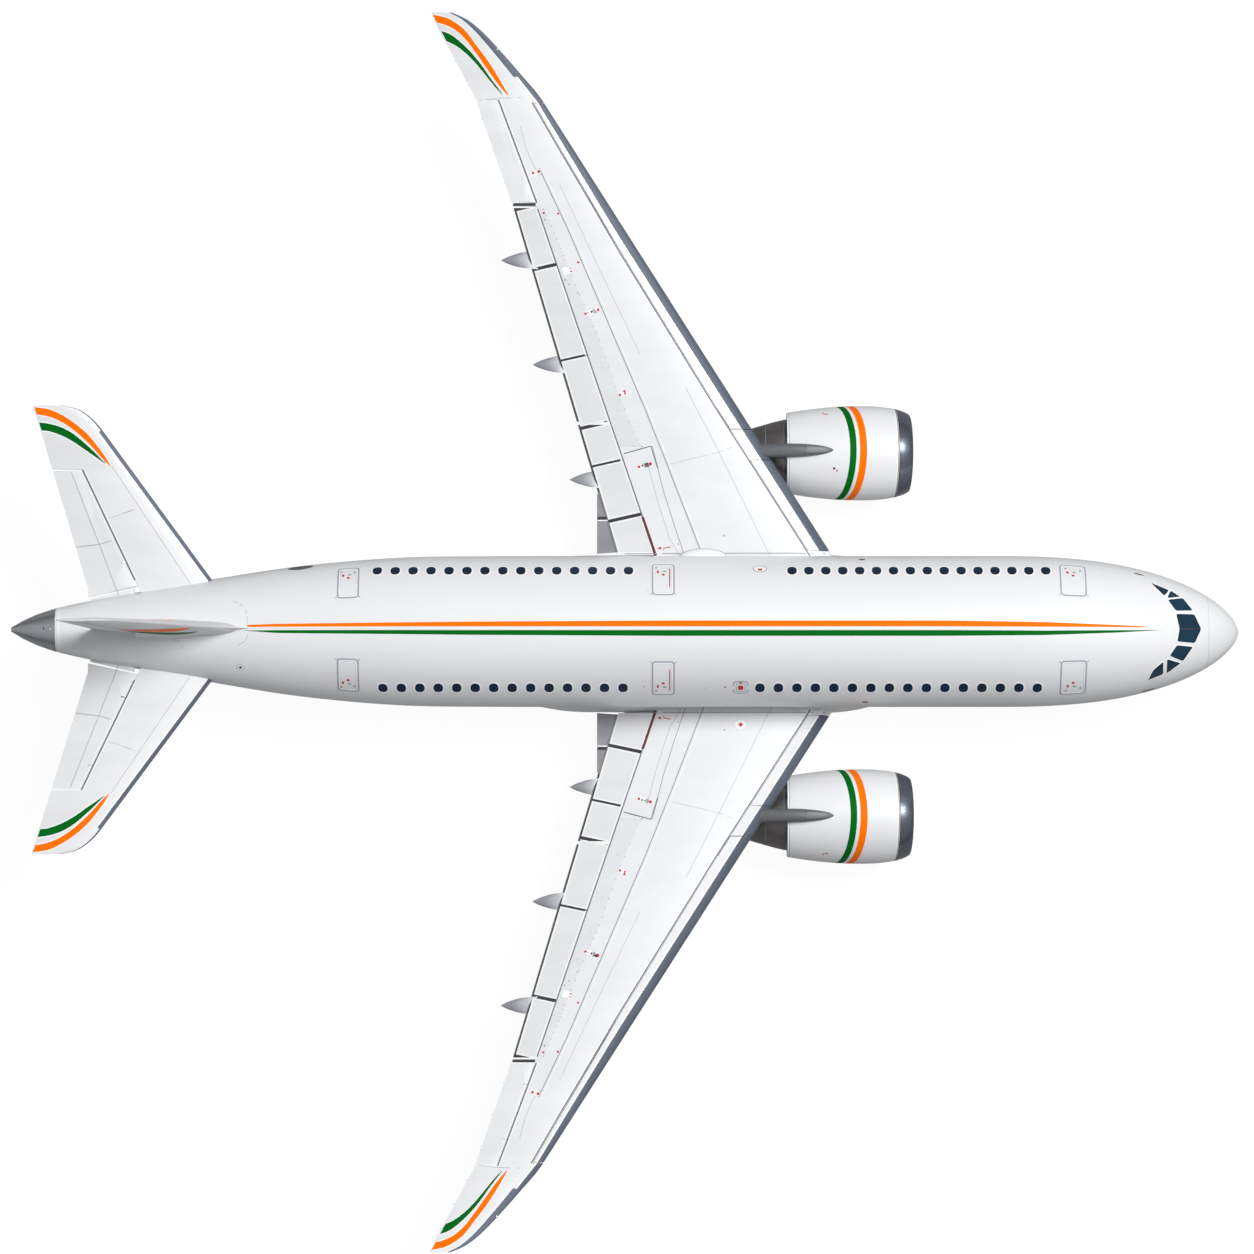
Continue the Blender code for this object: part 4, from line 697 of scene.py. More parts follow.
def foil_ring(foil, s, depth, break_x, slatted=False, rear="full"):
    """A closed section: over the top from the rear to the nose, and back underneath."""
    front, back = foil.le(s), foil.te(s)
    start = front - depth
    low_start = front - depth * 0.55
    eased = [1 - math.cos(math.pi / 2 * k / SKIN_POINTS) for k in range(SKIN_POINTS)]
    body = [break_x + (start - break_x) * share for share in eased]
    low_body = [break_x + (low_start - break_x) * share for share in eased]
    if slatted:
        high, low = foil.half(start, s), -foil.half(low_start, s)
        nose = [foil.at(start - SLAT_ROOM, s), foil.at(start - SLAT_ROOM, s, 1, -0.02)]
        for share, drop in SLAT_HOLLOW:
            x = front - depth * share - SLAT_ROOM
            nose.append(foil.at(x, s, 0, high + (low - high) * drop - 0.016 * (1 - 2 * drop)))
        nose += [foil.at(low_start - SLAT_ROOM, s, -1, 0.02), foil.at(low_start - SLAT_ROOM, s, -1)]
    else:
        nose = [foil.at(front - depth * share, s) for share in (1.0, 0.5, 0.2, 0.05)]
        nose.append(foil.at(front, s, 0))
        nose += [foil.at(front - depth * share, s, -1) for share in (0.06, 0.24, 0.55)]
    radius = foil.half(break_x, s)
    if rear == "full":
        xs = spread(back, break_x, REAR_POINTS + 1)[:-1]
        top = [foil.at(x, s) for x in xs]
        low = [foil.at(x, s, -1) for x in xs]
    else:
        if rear == "wall":
            steps = ((0.0, 0.01), (0.0, 0.34), (0.0, 0.7), (0.0, 0.85), (0.0, 0.96))
            reach = 0.0
        else:
            reach = radius * (1.05 - LIP_REACH)
            steps = ((reach, 0.01), (reach, 0.5), (reach, 0.86), (0.5 * reach, 0.88), (0.0, 0.90))
        top = [foil.at(break_x + a, s, 0, radius * share) for a, share in steps]
        low = [foil.at(break_x + a, s, 0, -radius * share) for a, share in steps]
    return [*top, *[foil.at(x, s) for x in body], *nose, *[foil.at(x, s, -1) for x in reversed(low_body)],
            *low[::-1]]


def wing_break(y):
    """Where the wing's rear part starts: at the spoilers' hinge, then ahead of the aileron's nose."""
    if y <= FLAP_END_Y:
        return line(SPOILER_HINGE, y)
    at = min(y, AILERON_SPAN[1])
    hinge = line(AILERON_HINGE, at)
    radius = WING.half(hinge, at)
    x = hinge + radius * LIP_REACH
    share = (WING.le(at) - x) / (WING.le(at) - WING.te(at))
    return WING.le(y) + (WING.te(y) - WING.le(y)) * share


def wing_depth(y):
    return min(table(SLAT_DEPTH, y), 0.165 * (WING.le(y) - WING.te(y)))


def wing_stations():
    """Stations along the wing, doubled where a bay starts or ends: (y, slatted, rear)."""
    breaks = sorted({ROOT_Y, *SLATS[0], *SLATS[1], FLAP_END_Y, *AILERON_SPAN})
    rows = []
    for a, b in zip(breaks, breaks[1:]):
        middle = (a + b) / 2
        slatted = any(lo < middle < hi for lo, hi in SLATS)
        by_aileron = AILERON_SPAN[0] < middle < AILERON_SPAN[1]
        rear = "wall" if middle < FLAP_END_Y else "lip" if by_aileron else "full"
        for y in spread(a, b, max(2, round((b - a) / 0.8) + 1)):
            rows.append((y, slatted, rear))
    tip = [AILERON_SPAN[1] + (TIP_Y - 0.01 - AILERON_SPAN[1]) * math.sin(math.pi / 2 * k / 16)
           for k in range(17)]
    return rows + [(y, False, "full") for y in tip]


def build_wings():
    rows = []
    for y, slatted, rear in wing_stations():
        break_x = wing_break(y)
        rows.append(foil_ring(WING, y, wing_depth(y), break_x, slatted, rear))
    shell = Shell()
    nose_column = REAR_POINTS + SKIN_POINTS

    def paint(i, j):
        y = rows[i][0].y
        fixed_nose = y > SLATS[1][1] - 0.01 or SLATS[0][1] - 0.01 < y < SLATS[1][0] + 0.01
        # The bare metal nose takes the leading edge's painted reflection colour
        if fixed_nose and nose_column <= j < nose_column + 7:
            return "edge_metal"
        return "wing_paint" if j < nose_column + 4 else "tail_paint"

    shell.rows(rows, paint, caps=True)
    build_both(shell, "skin_wing_{}", "airframe", "wing_grey", ["wing_{}"])


def tail_break(foil, hinge, limit, s):
    """Where the rear part of a tail surface starts, as for the wing."""
    at = min(s, limit)
    x = line(hinge, at)
    x += foil.half(x, at) * LIP_REACH
    share = (foil.le(at) - x) / (foil.le(at) - foil.te(at))
    return foil.le(s) + (foil.te(s) - foil.le(s)) * share


def tail_rows(foil, start, moving, tip_s, end, break_x, count):
    """Sections from the root to the tip, with a bay for the moving surface between two spans."""
    rows = []
    for s in spread(start, moving[0], 3) if start < moving[0] else []:
        rows.append((s, "full"))
    rows += [(s, "lip") for s in spread(*moving, count)]
    rows += [(s, "full") for s in spread(moving[1], tip_s, 5)]
    rows += [(tip_s + (end - tip_s) * math.sin(math.pi / 2 * k / 10), "full") for k in range(1, 11)]
    out = []
    for s, rear in rows:
        depth = 0.16 * (foil.le(s) - foil.te(s))
        out.append(foil_ring(foil, s, depth, break_x(s), False, rear))
    return out


def add_root_filler(shell):
    """The fixed strip between the hull and the elevator's root."""
    rows = []
    for x in spread(*FILLER_X, 8):
        inner = hull_radius(x) - 0.06
        outer = ELEVATOR_ROOT_Y + FILLER_SLANT * (x - line(ELEVATOR_HINGE, ELEVATOR_ROOT_Y)) - FILLER_GAP
        corners = ((inner, 1), (outer, 1), (outer, -1), (inner, -1))
        rows.append([STAB.at(x, y, side) for y, side in corners])
    shell.rows(rows, "tail_paint", caps=True)


def add_fin_fillet(shell):
    """The fillet at the fin's root, which rises over its front half and flares out towards the hull."""
    rings = []
    for share in spread(0, 1, 19):
        x = FIN_FILLET[0][0] - FILLET_LENGTH * share
        rise = FILLET_RISE * math.sin(math.pi / 2 * min(share * 1.9, 1.0)) ** 1.3
        top = FILLET_FRONT_Z + rise - FILLET_SINK * share
        half = smooth_table(FIN_FILLET, x)
        base = hull_centre(x) + hull_radius(x) - FILLET_ROOT
        height = max(top, base + 0.1) - base
        ring = []
        for a in spread(-math.pi / 2, math.pi / 2, 15):
            flare = 0.35 + 0.65 * (1 - math.cos(a)) ** 2
            ring.append((x, half * math.sin(a) * flare, base + height * math.cos(a) ** 0.8))
        rings.append(ring)
    shell.rows(rings, "hull_paint", caps=True)


def build_tail():
    shell = Shell()
    rows = tail_rows(
        STAB, 0.62, (0.62, ELEVATOR_END_Y), STAB_TIP_Y, 8.525,
        lambda s: tail_break(STAB, ELEVATOR_HINGE, ELEVATOR_END_Y, s), 12,
    )
    # The leading edge's band takes the painted reflection colour
    metal = range(REAR_POINTS + SKIN_POINTS + 2, REAR_POINTS + SKIN_POINTS + 6)
    shell.rows(rows, lambda i, j: "edge_metal" if j in metal else "tail_paint", caps=True)
    add_root_filler(shell)
    build_both(shell, "skin_stabilizer_{}", "airframe", "wing_grey", ["stabilizer_{}"])

    shell = Shell()
    rows = tail_rows(
        FIN, 1.4, RUDDER_SPAN, FIN_TIP_Z, 9.19,
        lambda s: tail_break(FIN, RUDDER_HINGE, RUDDER_SPAN[1], s), 12,
    )
    # The fin's skin takes the darker paint that stands in for its shade
    shell.rows(rows, "fin_paint", caps=True)
    add_fin_fillet(shell)
    shell.build("skin_fin", "airframe", "hull_white", ["fin"])


# Engines
COWL_STRIPES = ((8.55, 8.80, "green"), (8.93, 9.20, "orange"))
STRIPE_LEAN = 0.6
# Stations of the cowl's outer skin and of its duct
COWL_X = (6.15, 6.2, 6.4, 6.7, 7.0, 7.3, 7.6, 7.9, 8.2, 9.5, 9.75, 9.95, 10.12, 10.24, 10.30)
DUCT_X = (10.30, 10.1, 9.9, 9.78, 9.65, 9.3, 8.9, 8.4, 7.9, 7.2, 6.6, 6.15)
CORE = (  # station and radius, from the front over the nozzle's lip and back along the plug
    (8.86, 0.05), (8.86, 0.62), (8.80, 0.74), (8.70, 0.86), (8.30, 1.01), (7.90, 1.12), (7.45, 1.24),
    (7.00, 1.32), (6.60, 1.335), (6.15, 1.31), (5.70, 1.215), (5.30, 1.10), (4.95, 1.0), (4.62, 0.90),
    (4.60, 0.86), (4.66, 0.84), (4.95, 0.81), (5.05, 0.70), (5.06, 0.54), (4.98, 0.525), (4.80, 0.50),
    (4.60, 0.46), (4.40, 0.39), (4.10, 0.26), (3.90, 0.13), (3.80, 0.03),
)
CORE_JOINTS = ((6.9, 1.327), (6.02, 1.293), (5.32, 1.108))  # station, radius
VANES = 30
VANE_SPAN = (0.80, 1.475)
VANE = ((8.78, 0.0), (8.66, 0.012), (8.46, 0.05), (8.64, -0.006))  # section: station, way round
PYLON_POWERS = (0.6, 0.55)  # of its section, across and upwards


def scarfed(x, z):
    share = min(max((x - SCARF_FROM_X) / (COWL_OUTER[-1][0] - SCARF_FROM_X), 0.0), 1.0)
    return x + SCARF * (z - ENGINE_Z) * share


def cowl_point(x, angle, inner=False):
    radius = smooth_table(COWL_INNER if inner else COWL_OUTER, x)
    z = ENGINE_Z + radius * math.cos(angle)
    return Vector((scarfed(x, z), ENGINE_Y + radius * math.sin(angle), z))


def build_engines():
    angles = around(72)
    marks = [x for start, end, _ in COWL_STRIPES for x in (start, end)]
    outer = sorted([*COWL_X, *marks])
    cowl = Shell()
    rows = []
    for x in outer:
        behind = (x - COWL_X[0]) / (marks[0] - COWL_X[0])
        ahead = (COWL_X[-1] - x) / (COWL_X[-1] - marks[-1])
        lean = min(behind, ahead, 1.0) * STRIPE_LEAN
        rows.append([cowl_point(x - lean * (1 - math.cos(a)), a) for a in angles])
    rows += [[cowl_point(x, a, True) for a in angles] for x in DUCT_X]
    rows.append(rows[0])

    def paint(i, j):
        for start, end, name in COWL_STRIPES:
            if i < len(outer) - 1 and start - 0.01 < (outer[i] + outer[i + 1]) / 2 < end + 0.01:
                return name
        return "hull_paint" if i < len(outer) - 1 else "duct_metal"

    cowl.rows(rows, paint)
    build_both(cowl, "skin_nacelle_{}", "airframe", "hull_white", ["nacelle_{}"])

    lip = Shell()
    profile = curve_through(LIP, 31)
    rings = []
    for x, radius in [*profile, profile[0]]:
        ring = []
        for a in angles:
            z = ENGINE_Z + radius * math.cos(a)
            ring.append((scarfed(x, z), ENGINE_Y + radius * math.sin(a), z))
        rings.append(ring)
    # The lip's dark blue-grey metal is a painted reflection
    lip.rows(rings, "lip_metal")
    build_both(lip, "skin_intake_lip_{}", "airframe", "leading_edge_metal", ["intake_lip_{}"])

    core = Shell()
    axis = (ENGINE_Y, ENGINE_Z)
    core.lathe(CORE, axis, "X", "core_metal", sides=64)
    for x, radius in CORE_JOINTS:
        low, high = radius - 0.02, radius + 0.008
        joint = [(x - 0.012, low), (x - 0.012, high), (x + 0.012, high), (x + 0.012, low)]
        core.lathe(joint, axis, "X", "seam", sides=64, closed=True)
    build_both(core, "engine_core_skin_{}", "airframe", "exhaust_metal", ["engine_core_{}"])

    vanes = Shell()
    for a in around(VANES):
        out = Vector((0, math.sin(a), math.cos(a)))
        side = Vector((0, math.cos(a), -math.sin(a)))
        rings = []
        for r in VANE_SPAN:
            middle = Vector((0, ENGINE_Y, ENGINE_Z)) + out * r
            rings.append([middle + Vector((x, 0, 0)) + side * aside for x, aside in VANE])
        vanes.rows(rings, "duct_metal", caps=True)
    build_both(vanes, "guide_vanes_{}", "airframe", "fan_metal")

    pylon = Shell()
    rings = []
    for x in [7.98, 7.93, 7.85, 7.7, 7.5, *spread(7.25, 2.5, 20), 2.3, 2.2]:
        half, top, low = (smooth_table(column(PYLON, n), x) for n in (1, 2, 3))
        ring = []
        for a in around(20):
            y = ENGINE_Y + half * signed_power(math.sin(a), PYLON_POWERS[0])
            z = (top + low) / 2 + (top - low) / 2 * signed_power(math.cos(a), PYLON_POWERS[1])
            ring.append((x, y, z))
        rings.append(ring)
    pylon.rows(rings, "pylon_paint", caps=True)
    build_both(pylon, "skin_pylon_{}", "airframe", "leading_edge_metal", ["pylon_{}"])


BLADE = (  # radius, pitch in degrees, chord, thickness, sweep of the blade's middle
    (0.36, 30, 0.40, 0.052, 0.00), (0.60, 40, 0.43, 0.042, 0.01), (0.85, 48, 0.46, 0.033, 0.02),
    (1.10, 55, 0.48, 0.027, 0.01), (1.30, 60, 0.47, 0.022, -0.02), (FAN_RADIUS, 64, 0.44, 0.017, -0.06),
)
BLADE_SECTION = (  # shares of chord and of thickness
    (0.5, 0.0), (0.36, 0.42), (0.1, 0.5), (-0.2, 0.36), (-0.5, 0.02), (-0.2, -0.24), (0.1, -0.34),
    (0.36, -0.3),
)
SPINNER = (  # station and radius, then the hub behind
    (10.10, 0.012), (10.085, 0.05), (10.03, 0.10), (9.94, 0.17), (9.82, 0.25), (9.66, 0.335), (9.50, 0.40),
    (9.30, 0.455), (9.06, 0.50), (9.0, 0.50), (9.0, 0.18), (8.68, 0.18), (8.68, 0.02),
)
# Station and radius of the skin that the white spiral lies on
SPIRAL_SKIN = ((10.10, 0.02), (10.03, 0.10), (9.94, 0.17), (9.82, 0.25), (9.66, 0.335), (9.3, 0.455))


def build_fans():
    """Spinner with a white spiral, hub and blades; both fans turn the same way, so none is mirrored."""
    for side, word in SIDES:
        shell = Shell()
        y = ENGINE_Y * side
        # The spinner's front cone is black, in the same material as the painted gap shade
        shell.lathe(SPINNER, (y, ENGINE_Z), "X", lambda i, j: "dark_gap" if i < 7 else "duct_metal",
                    sides=48)
        spiral = [(10.06 - 0.42 * share, 0.5 + 4.2 * share) for share in spread(0, 1, 22)]

        def spinner(x, angle):
            radius = smooth_table(SPIRAL_SKIN, x)
            return Vector((x, y + radius * math.sin(angle), ENGINE_Z + radius * math.cos(angle)))

        shell.strip(spiral, spinner, 0.045, "white_trim", lift=0.004, depth=0.01, sign=1)
        for k in range(FAN_BLADES):
            turn = Matrix.Rotation(2 * math.pi * (k + 0.3) / FAN_BLADES, 4, "X")
            rings = []
            for r, pitch, chord, thick, sweep in BLADE:
                a = math.radians(pitch)
                along = Vector((math.cos(a), math.sin(a), 0)) * chord
                off = Vector((-math.sin(a), math.cos(a), 0)) * thick
                ring = []
                for u, v in BLADE_SECTION:
                    p = turn @ (Vector((FAN_X + sweep, 0, r)) + along * u + off * v)
                    ring.append((p.x, p.y + y, p.z + ENGINE_Z))
                rings.append(ring)
            shell.rows(rings, "fan_titanium", caps=True)
        shell.build(f"fan_skin_{word}", f"fan_{word}", "fan_metal", [f"fan_{word}"])


# Wheels
def wheel(shell, x, y, z, radius, width, outward):
    """A tyre with circumferential grooves, and a dished rim with holes marked round it as black discs of
    painted shade.
    """
    half = width / 2
    tread = []
    for k, across in enumerate(spread(-0.56, 0.56, 17)):
        groove = 0.016 if k in (4, 7, 9, 12) else 0.0
        tread.append((y + across * width, radius * (1 - 0.10 * abs(across) ** 3) - groove))
    hub = radius * 0.47
    left = [
        (y - half * 0.66, hub), (y - half * 0.86, hub * 1.06), (y - half * 0.99, radius * 0.68),
        (y - half, radius * 0.80), (y - half * 0.93, radius * 0.90), (y - half * 0.80, radius * 0.965),
    ]
    tread = [(t, min(r, radius)) for t, r in tread if abs(t - y) < half * 0.72]
    right = [(2 * y - t, r) for t, r in reversed(left)]
    shell.lathe([*left, *tread, *right], (x, z), "Y", "tyre", sides=56, closed=True)
    face = y + outward * half * 0.70
    inner = y - outward * half * 0.66
    profile = [
        (inner, hub * 0.98), (face, hub * 0.98), (face + outward * 0.012, hub * 0.90),
        (face - outward * 0.02, hub * 0.84), (face - outward * 0.07, hub * 0.74),
        (face - outward * 0.075, hub * 0.52), (face - outward * 0.03, hub * 0.42),
        (face + outward * 0.015, hub * 0.36), (face + outward * 0.03, hub * 0.18),
        (face + outward * 0.03, 0.008), (inner, 0.008),
    ]
    shell.lathe(profile, (x, z), "Y", "rim", sides=40)

    def stud(share, a, depth, length, thick, paint, sides):
        at = Vector((x + hub * share * math.sin(a), face + outward * depth, z + hub * share * math.cos(a)))
        shell.tube([at, at + Vector((0, outward * length, 0))], thick, paint, sides=sides)

    for a in around(9):
        # Black discs in the rim's dish: painted shade standing in for holes
        stud(0.63, a, -0.078, 0.006, hub * 0.10, "dark_gap", 12)
        stud(0.80, a + math.pi / 9, -0.05, 0.03, 0.014, "steel", 6)
    for a in around(6):
        stud(0.27, a + math.pi / 6, 0.01, 0.03, 0.012, "steel", 6)


def build_wheels():
    for place, x in (("front", MAIN_X + BOGIE_BASE / 2), ("rear", MAIN_X - BOGIE_BASE / 2)):
        shell = Shell()
        for side in (1, -1):
            y = MAIN_Y + side * WHEEL_TRACK / 2
            wheel(shell, x, y, WHEEL_RADIUS - STAND, WHEEL_RADIUS, WHEEL_WIDTH, side)
        reach = WHEEL_TRACK / 2 - WHEEL_WIDTH * 0.3
        at = (x, WHEEL_RADIUS - STAND)
        shell.lathe([(MAIN_Y - reach, 0.085), (MAIN_Y + reach, 0.085)], at, "Y", "steel", sides=20)
        name = f"main_wheels_{place}_" + "{}"
        build_both(shell, "detailed_" + name, name, "tyre_rubber", [name])
    shell = Shell()
    for side in (1, -1):
        y = side * NOSE_WHEEL_TRACK / 2
        wheel(shell, NOSE_GEAR_X, y, NOSE_WHEEL_RADIUS - STAND, NOSE_WHEEL_RADIUS, NOSE_WHEEL_WIDTH, side)
    reach = NOSE_WHEEL_TRACK / 2 - NOSE_WHEEL_WIDTH * 0.3
    at = (NOSE_GEAR_X, NOSE_WHEEL_RADIUS - STAND)
    shell.lathe([(-reach, 0.07), (reach, 0.07)], at, "Y", "steel", sides=20)
    shell.build("detailed_nose_wheels", "nose_wheels", "tyre_rubber", ["nose_wheels"])


# Windshield
def from_photo(px, py, height):
    """Where the camera sees a pixel of the photograph, at a height over the fuselage's centre line."""
    depth = (CAMERA_DISTANCE - height) / CAMERA_DISTANCE
    x = (px - ORIGIN_PX) / PIXELS_PER_METRE * depth
    v = (AXIS_PY - py) / PIXELS_PER_METRE * depth
    return x, (v - height * math.sin(CAMERA_ROLL)) / math.cos(CAMERA_ROLL)


def hull_from_photo(px, py):
    """The station and the angle from the crown of the hull's point at a pixel."""
    height = RADIUS
    for _ in range(12):
        x, y = from_photo(px, py, height)
        radius = hull_radius(x)
        angle = math.asin(max(min(y / radius, 0.98), -0.98))
        height = hull_centre(x) + radius * math.cos(angle)
    return x, angle


PANES = (  # corners in pixels of the photograph
    ((1149.8, 582.2), (1169.6, 590.3), (1164.4, 596.6)),
    ((1170.4, 590.3), (1181.3, 597.2), (1166.6, 598.5)),
    ((1167.2, 599.6), (1182.8, 597.8), (1193.4, 610.9), (1175.6, 611.3)),
    ((1175.6, 613.5), (1194.4, 614.0), (1201.5, 628.9), (1194.8, 643.5), (1176.6, 641.8), (1179.0, 628.9)),
    ((1176.6, 644.6), (1193.4, 646.5), (1182.8, 661.5), (1169.0, 655.9)),
    ((1166.6, 658.5), (1181.3, 662.8), (1165.9, 674.0)),
    ((1163.4, 660.9), (1163.4, 674.0), (1147.0, 680.6), (1153.0, 669.4)),
)


def rounded(corners, radius, steps=3):
    """A polygon with rounded corners."""
    out = []
    count = len(corners)
    for k in range(count):
        before, here, after = (Vector(corners[(k + d) % count]) for d in (-1, 0, 1))
        back = (before - here).normalized() * min(radius, (before - here).length * 0.45)
        ahead = (after - here).normalized() * min(radius, (after - here).length * 0.45)
        for j in range(steps + 1):
            t = j / steps
            out.append(tuple(here + back * (1 - t) ** 2 + ahead * t ** 2))
    return out


def dense(outline, step):
    """An outline with more points along its long sides."""
    out = []
    for k, here in enumerate(outline):
        after = outline[(k + 1) % len(outline)]
        count = max(1, math.ceil(math.dist(here, after) / step))
        out += [tuple(Vector(here).lerp(Vector(after), j / count)) for j in range(count)]
    return out


def build_windshield():
    shell = Shell()
    for corners in PANES:
        outline = [hull_from_photo(px, py) for px, py in dense(rounded(corners, 2.2), 3.0)]
        shell.patch(outline, on_hull, "glass", lift=0.010, depth=0.02,
                    rings=(1.0, 0.97, 0.8, 0.6, 0.4, 0.2, 0.06))
        shell.strip(outline, on_hull, 0.030, "white_trim", lift=0.014, depth=0.02, closed=True)
    post = [hull_from_photo(px, 628.9) for px in spread(1180.5, 1200.0, 8)]
    shell.strip(post, on_hull, 0.014, "brown_mark", lift=0.012)
    shell.build("windshield_panes", "airframe", "cockpit_glass", ["windshield"])


# Marks on the hull
WINDOW_Y = 2.23  # distance of the window rows from the middle plane
WINDOW_SIZE = (0.365, 0.505)  # along the hull and round it
WINDOW_ROWS = {1: ((-9.48, 0.057, 15), (6.26, 15.89, 16)), -1: ((-9.26, -0.152, 14), (5.04, 15.56, 16))}
DOORS = (  # middle, width, and the angles of the upper and lower edge from the crown
    (-10.57, 0.77, 25.8, 59.9), (1.375, 0.81, 26.3, 58.8), (16.92, 0.95, 26.5, 60.6),
)
DOOR_CORNER = 0.13
DOOR_MARKS = (  # width, height, corner, place along the hull, share of the height towards the sill, paint
    (0.08, 0.14, 0.03, -0.20, 0.20, "red_mark"), (0.11, 0.10, 0.04, 0.0, 0.10, "red_mark"),
    (0.07, 0.07, 0.02, -0.27, 0.36, "red_mark"), (0.14, 0.07, 0.03, 0.05, 0.22, "line_grey"),
)
PANE_POWER = 0.86  # of a cabin window's outline


def hull_patch(shell, x, angle, outline, paint, lift=0.004):
    """A thin plate on the hull; its outline is given in metres along the hull and round it."""
    radius = hull_radius(x)
    shell.patch([(x + a, angle + b / radius) for a, b in outline], on_hull, paint, lift)


def hull_line(shell, x, angle, path, width, paint, closed=False, lift=0.004):
    radius = hull_radius(x)
    shell.strip([(x + a, angle + b / radius) for a, b in path], on_hull, width, paint, lift, closed=closed)


def oval(width, height, count=16):
    return [(width / 2 * math.cos(a), height / 2 * math.sin(a)) for a in around(count)]


def pane(width, height, count=20):
    """A window's outline, between an oval and a rectangle."""
    return [
        (width / 2 * signed_power(math.cos(a), PANE_POWER),
         height / 2 * signed_power(math.sin(a), PANE_POWER))
        for a in around(count)
    ]


def block(width, height, radius=0.0, at=(0.0, 0.0)):
    """A rectangle with rounded corners."""
    a, b = width / 2, height / 2
    corners = [(at[0] + x, at[1] + y) for x, y in ((-a, -b), (a, -b), (a, b), (-a, b))]
    return rounded(corners, radius) if radius else corners


def build_windows():
    for side, word in SIDES:
        shell = Shell()
        for start, end, count in WINDOW_ROWS[side]:
            for x in spread(start, end, count):
                angle = math.asin(WINDOW_Y / hull_radius(x)) * side
                width, height = WINDOW_SIZE
                hull_patch(shell, x, angle, pane(width, height), "window_glass", lift=0.003)
                rim = pane(width + 0.05, height + 0.05)
                hull_line(shell, x, angle, rim, 0.05, "white_trim", closed=True, lift=0.006)
        shell.build(f"cabin_windows_{word}", "airframe", "hull_white")


def build_doors():
    """Door seams, hinge corners, and the small red and dark marks on them; none of them are letters."""
    for side, word in SIDES:
        shell = Shell()
        for k, (x, width, high, low) in enumerate(DOORS):
            angle = math.radians((high + low) / 2) * side
            height = math.radians(low - high) * hull_radius(x)
            down = side  # towards the sill
            outline = dense(block(width, height, DOOR_CORNER), 0.12)
            hull_line(shell, x, angle, outline, 0.065, "door_seam", closed=True)
            inner = dense(block(width - 0.10, height - 0.10, 0.10), 0.12)
            hull_line(shell, x, angle, inner, 0.035, "white_trim", closed=True)
            inner = dense(block(width - 0.17, height - 0.17, 0.08), 0.12)
            hull_line(shell, x, angle, inner, 0.014, "joint_line", closed=True)
            for across in (-1, 1):
                corner = (across * (width / 2 + 0.02), -down * (height / 2 - 0.07))
                tick = [corner, (across * (width / 2 + 0.09), -down * (height / 2 + 0.02))]
                hull_line(shell, x, angle, tick, 0.03, "door_seam")
            sill = down * height
            for wide, tall, corner, along, share, paint in DOOR_MARKS:
                hull_patch(shell, x, angle, block(wide, tall, corner, (along, sill * share)), paint)
            hull_patch(shell, x, angle, block(0.05, 0.08, 0.02, (width * 0.30, sill * 0.30)), "dark_red")
            if k == 1:
                arm = [(width * 0.30, -sill * 0.30), (width * 0.30, sill * 0.34)]
                hull_line(shell, x, angle, dense(arm, 0.2)[:-1], 0.035, "red_mark", lift=0.006)
        if side > 0:
            hull_patch(shell, 5.05, math.radians(53), oval(0.56, 0.42), "door_seam", lift=0.002)
            hull_patch(shell, 5.05, math.radians(53), oval(0.48, 0.34), "white_trim", lift=0.005)
            hull_patch(shell, 5.05, math.radians(52), block(0.17, 0.12, 0.03), "red_mark", lift=0.008)
        else:
            hatch = -math.radians(50.5)
            hull_line(shell, 4.31, hatch, block(0.54, 0.66, 0.12), 0.045, "door_seam", closed=True)
            hull_line(shell, 4.31, hatch, block(0.34, 0.42, 0.05), 0.025, "door_seam", closed=True)
            hull_patch(shell, 4.31, hatch, block(0.20, 0.24, 0.05), "red_mark")
            hull_patch(shell, 4.31, hatch, block(0.10, 0.10, 0.03, (0.0, 0.28)), "red_mark")
        shell.build(f"door_outlines_{word}", "airframe", "hull_white")


HULL_DOTS = (  # pixel of the photograph, size along and round the hull, paint
    ((862.0, 559.5), (0.26, 0.14), "rubber_seal"), ((865.0, 702.0), (0.24, 0.16), "dark_red"),
    ((1139.0, 574.2), (0.40, 0.10), "brown_mark"), ((1148.0, 691.0), (0.52, 0.15), "brown_mark"),
    ((240.6, 667.4), (0.11, 0.11), "brown_mark"), ((706.0, 688.0), (0.06, 0.06), "fine_line"),
    ((725.0, 687.0), (0.07, 0.07), "rubber_seal"), ((644.0, 686.5), (0.07, 0.07), "fine_line"),
    ((648.0, 590.0), (0.05, 0.05), "fine_line"), ((43.6, 628.4), (0.05, 0.10), "rubber_seal"),
)
PROBES = ((20.35, 118.0), (20.75, 123.0), (20.55, 128.0), (19.2, 116.0))  # station, angle from the crown
HULL_JOINTS = (-13.6, -9.9, -6.2, 2.35, 6.0, 9.7, 13.4, 18.1, 20.0)
HULL_LINES = (  # panel lines round the fin and the stabilizers, in pixels of the photograph
    ((233.7, 601.1), (242.1, 605.3), (246.3, 611.6), (247.2, 618.0), (247.3, 624.0)),
    ((247.3, 634.0), (246.6, 638.5), (244.2, 642.1), (237.9, 645.3)),
    ((201.7, 581.0), (192.6, 586.3), (186.3, 592.6), (183.6, 600.0)),
    ((173.1, 639.6), (178.9, 641.7), (182.7, 648.4), (187.7, 659.8), (192.6, 671.2)),
    ((128.8, 638.3), (133.0, 646.3), (143.2, 657.3)),
)
# The vent's middle ring is the intake lip's metal, with its painted reflection colour
VENT = (  # length, height, paint
    (0.98, 0.60, "seam"), (0.92, 0.54, "lip_metal"), (0.66, 0.26, "duct_metal"),
)


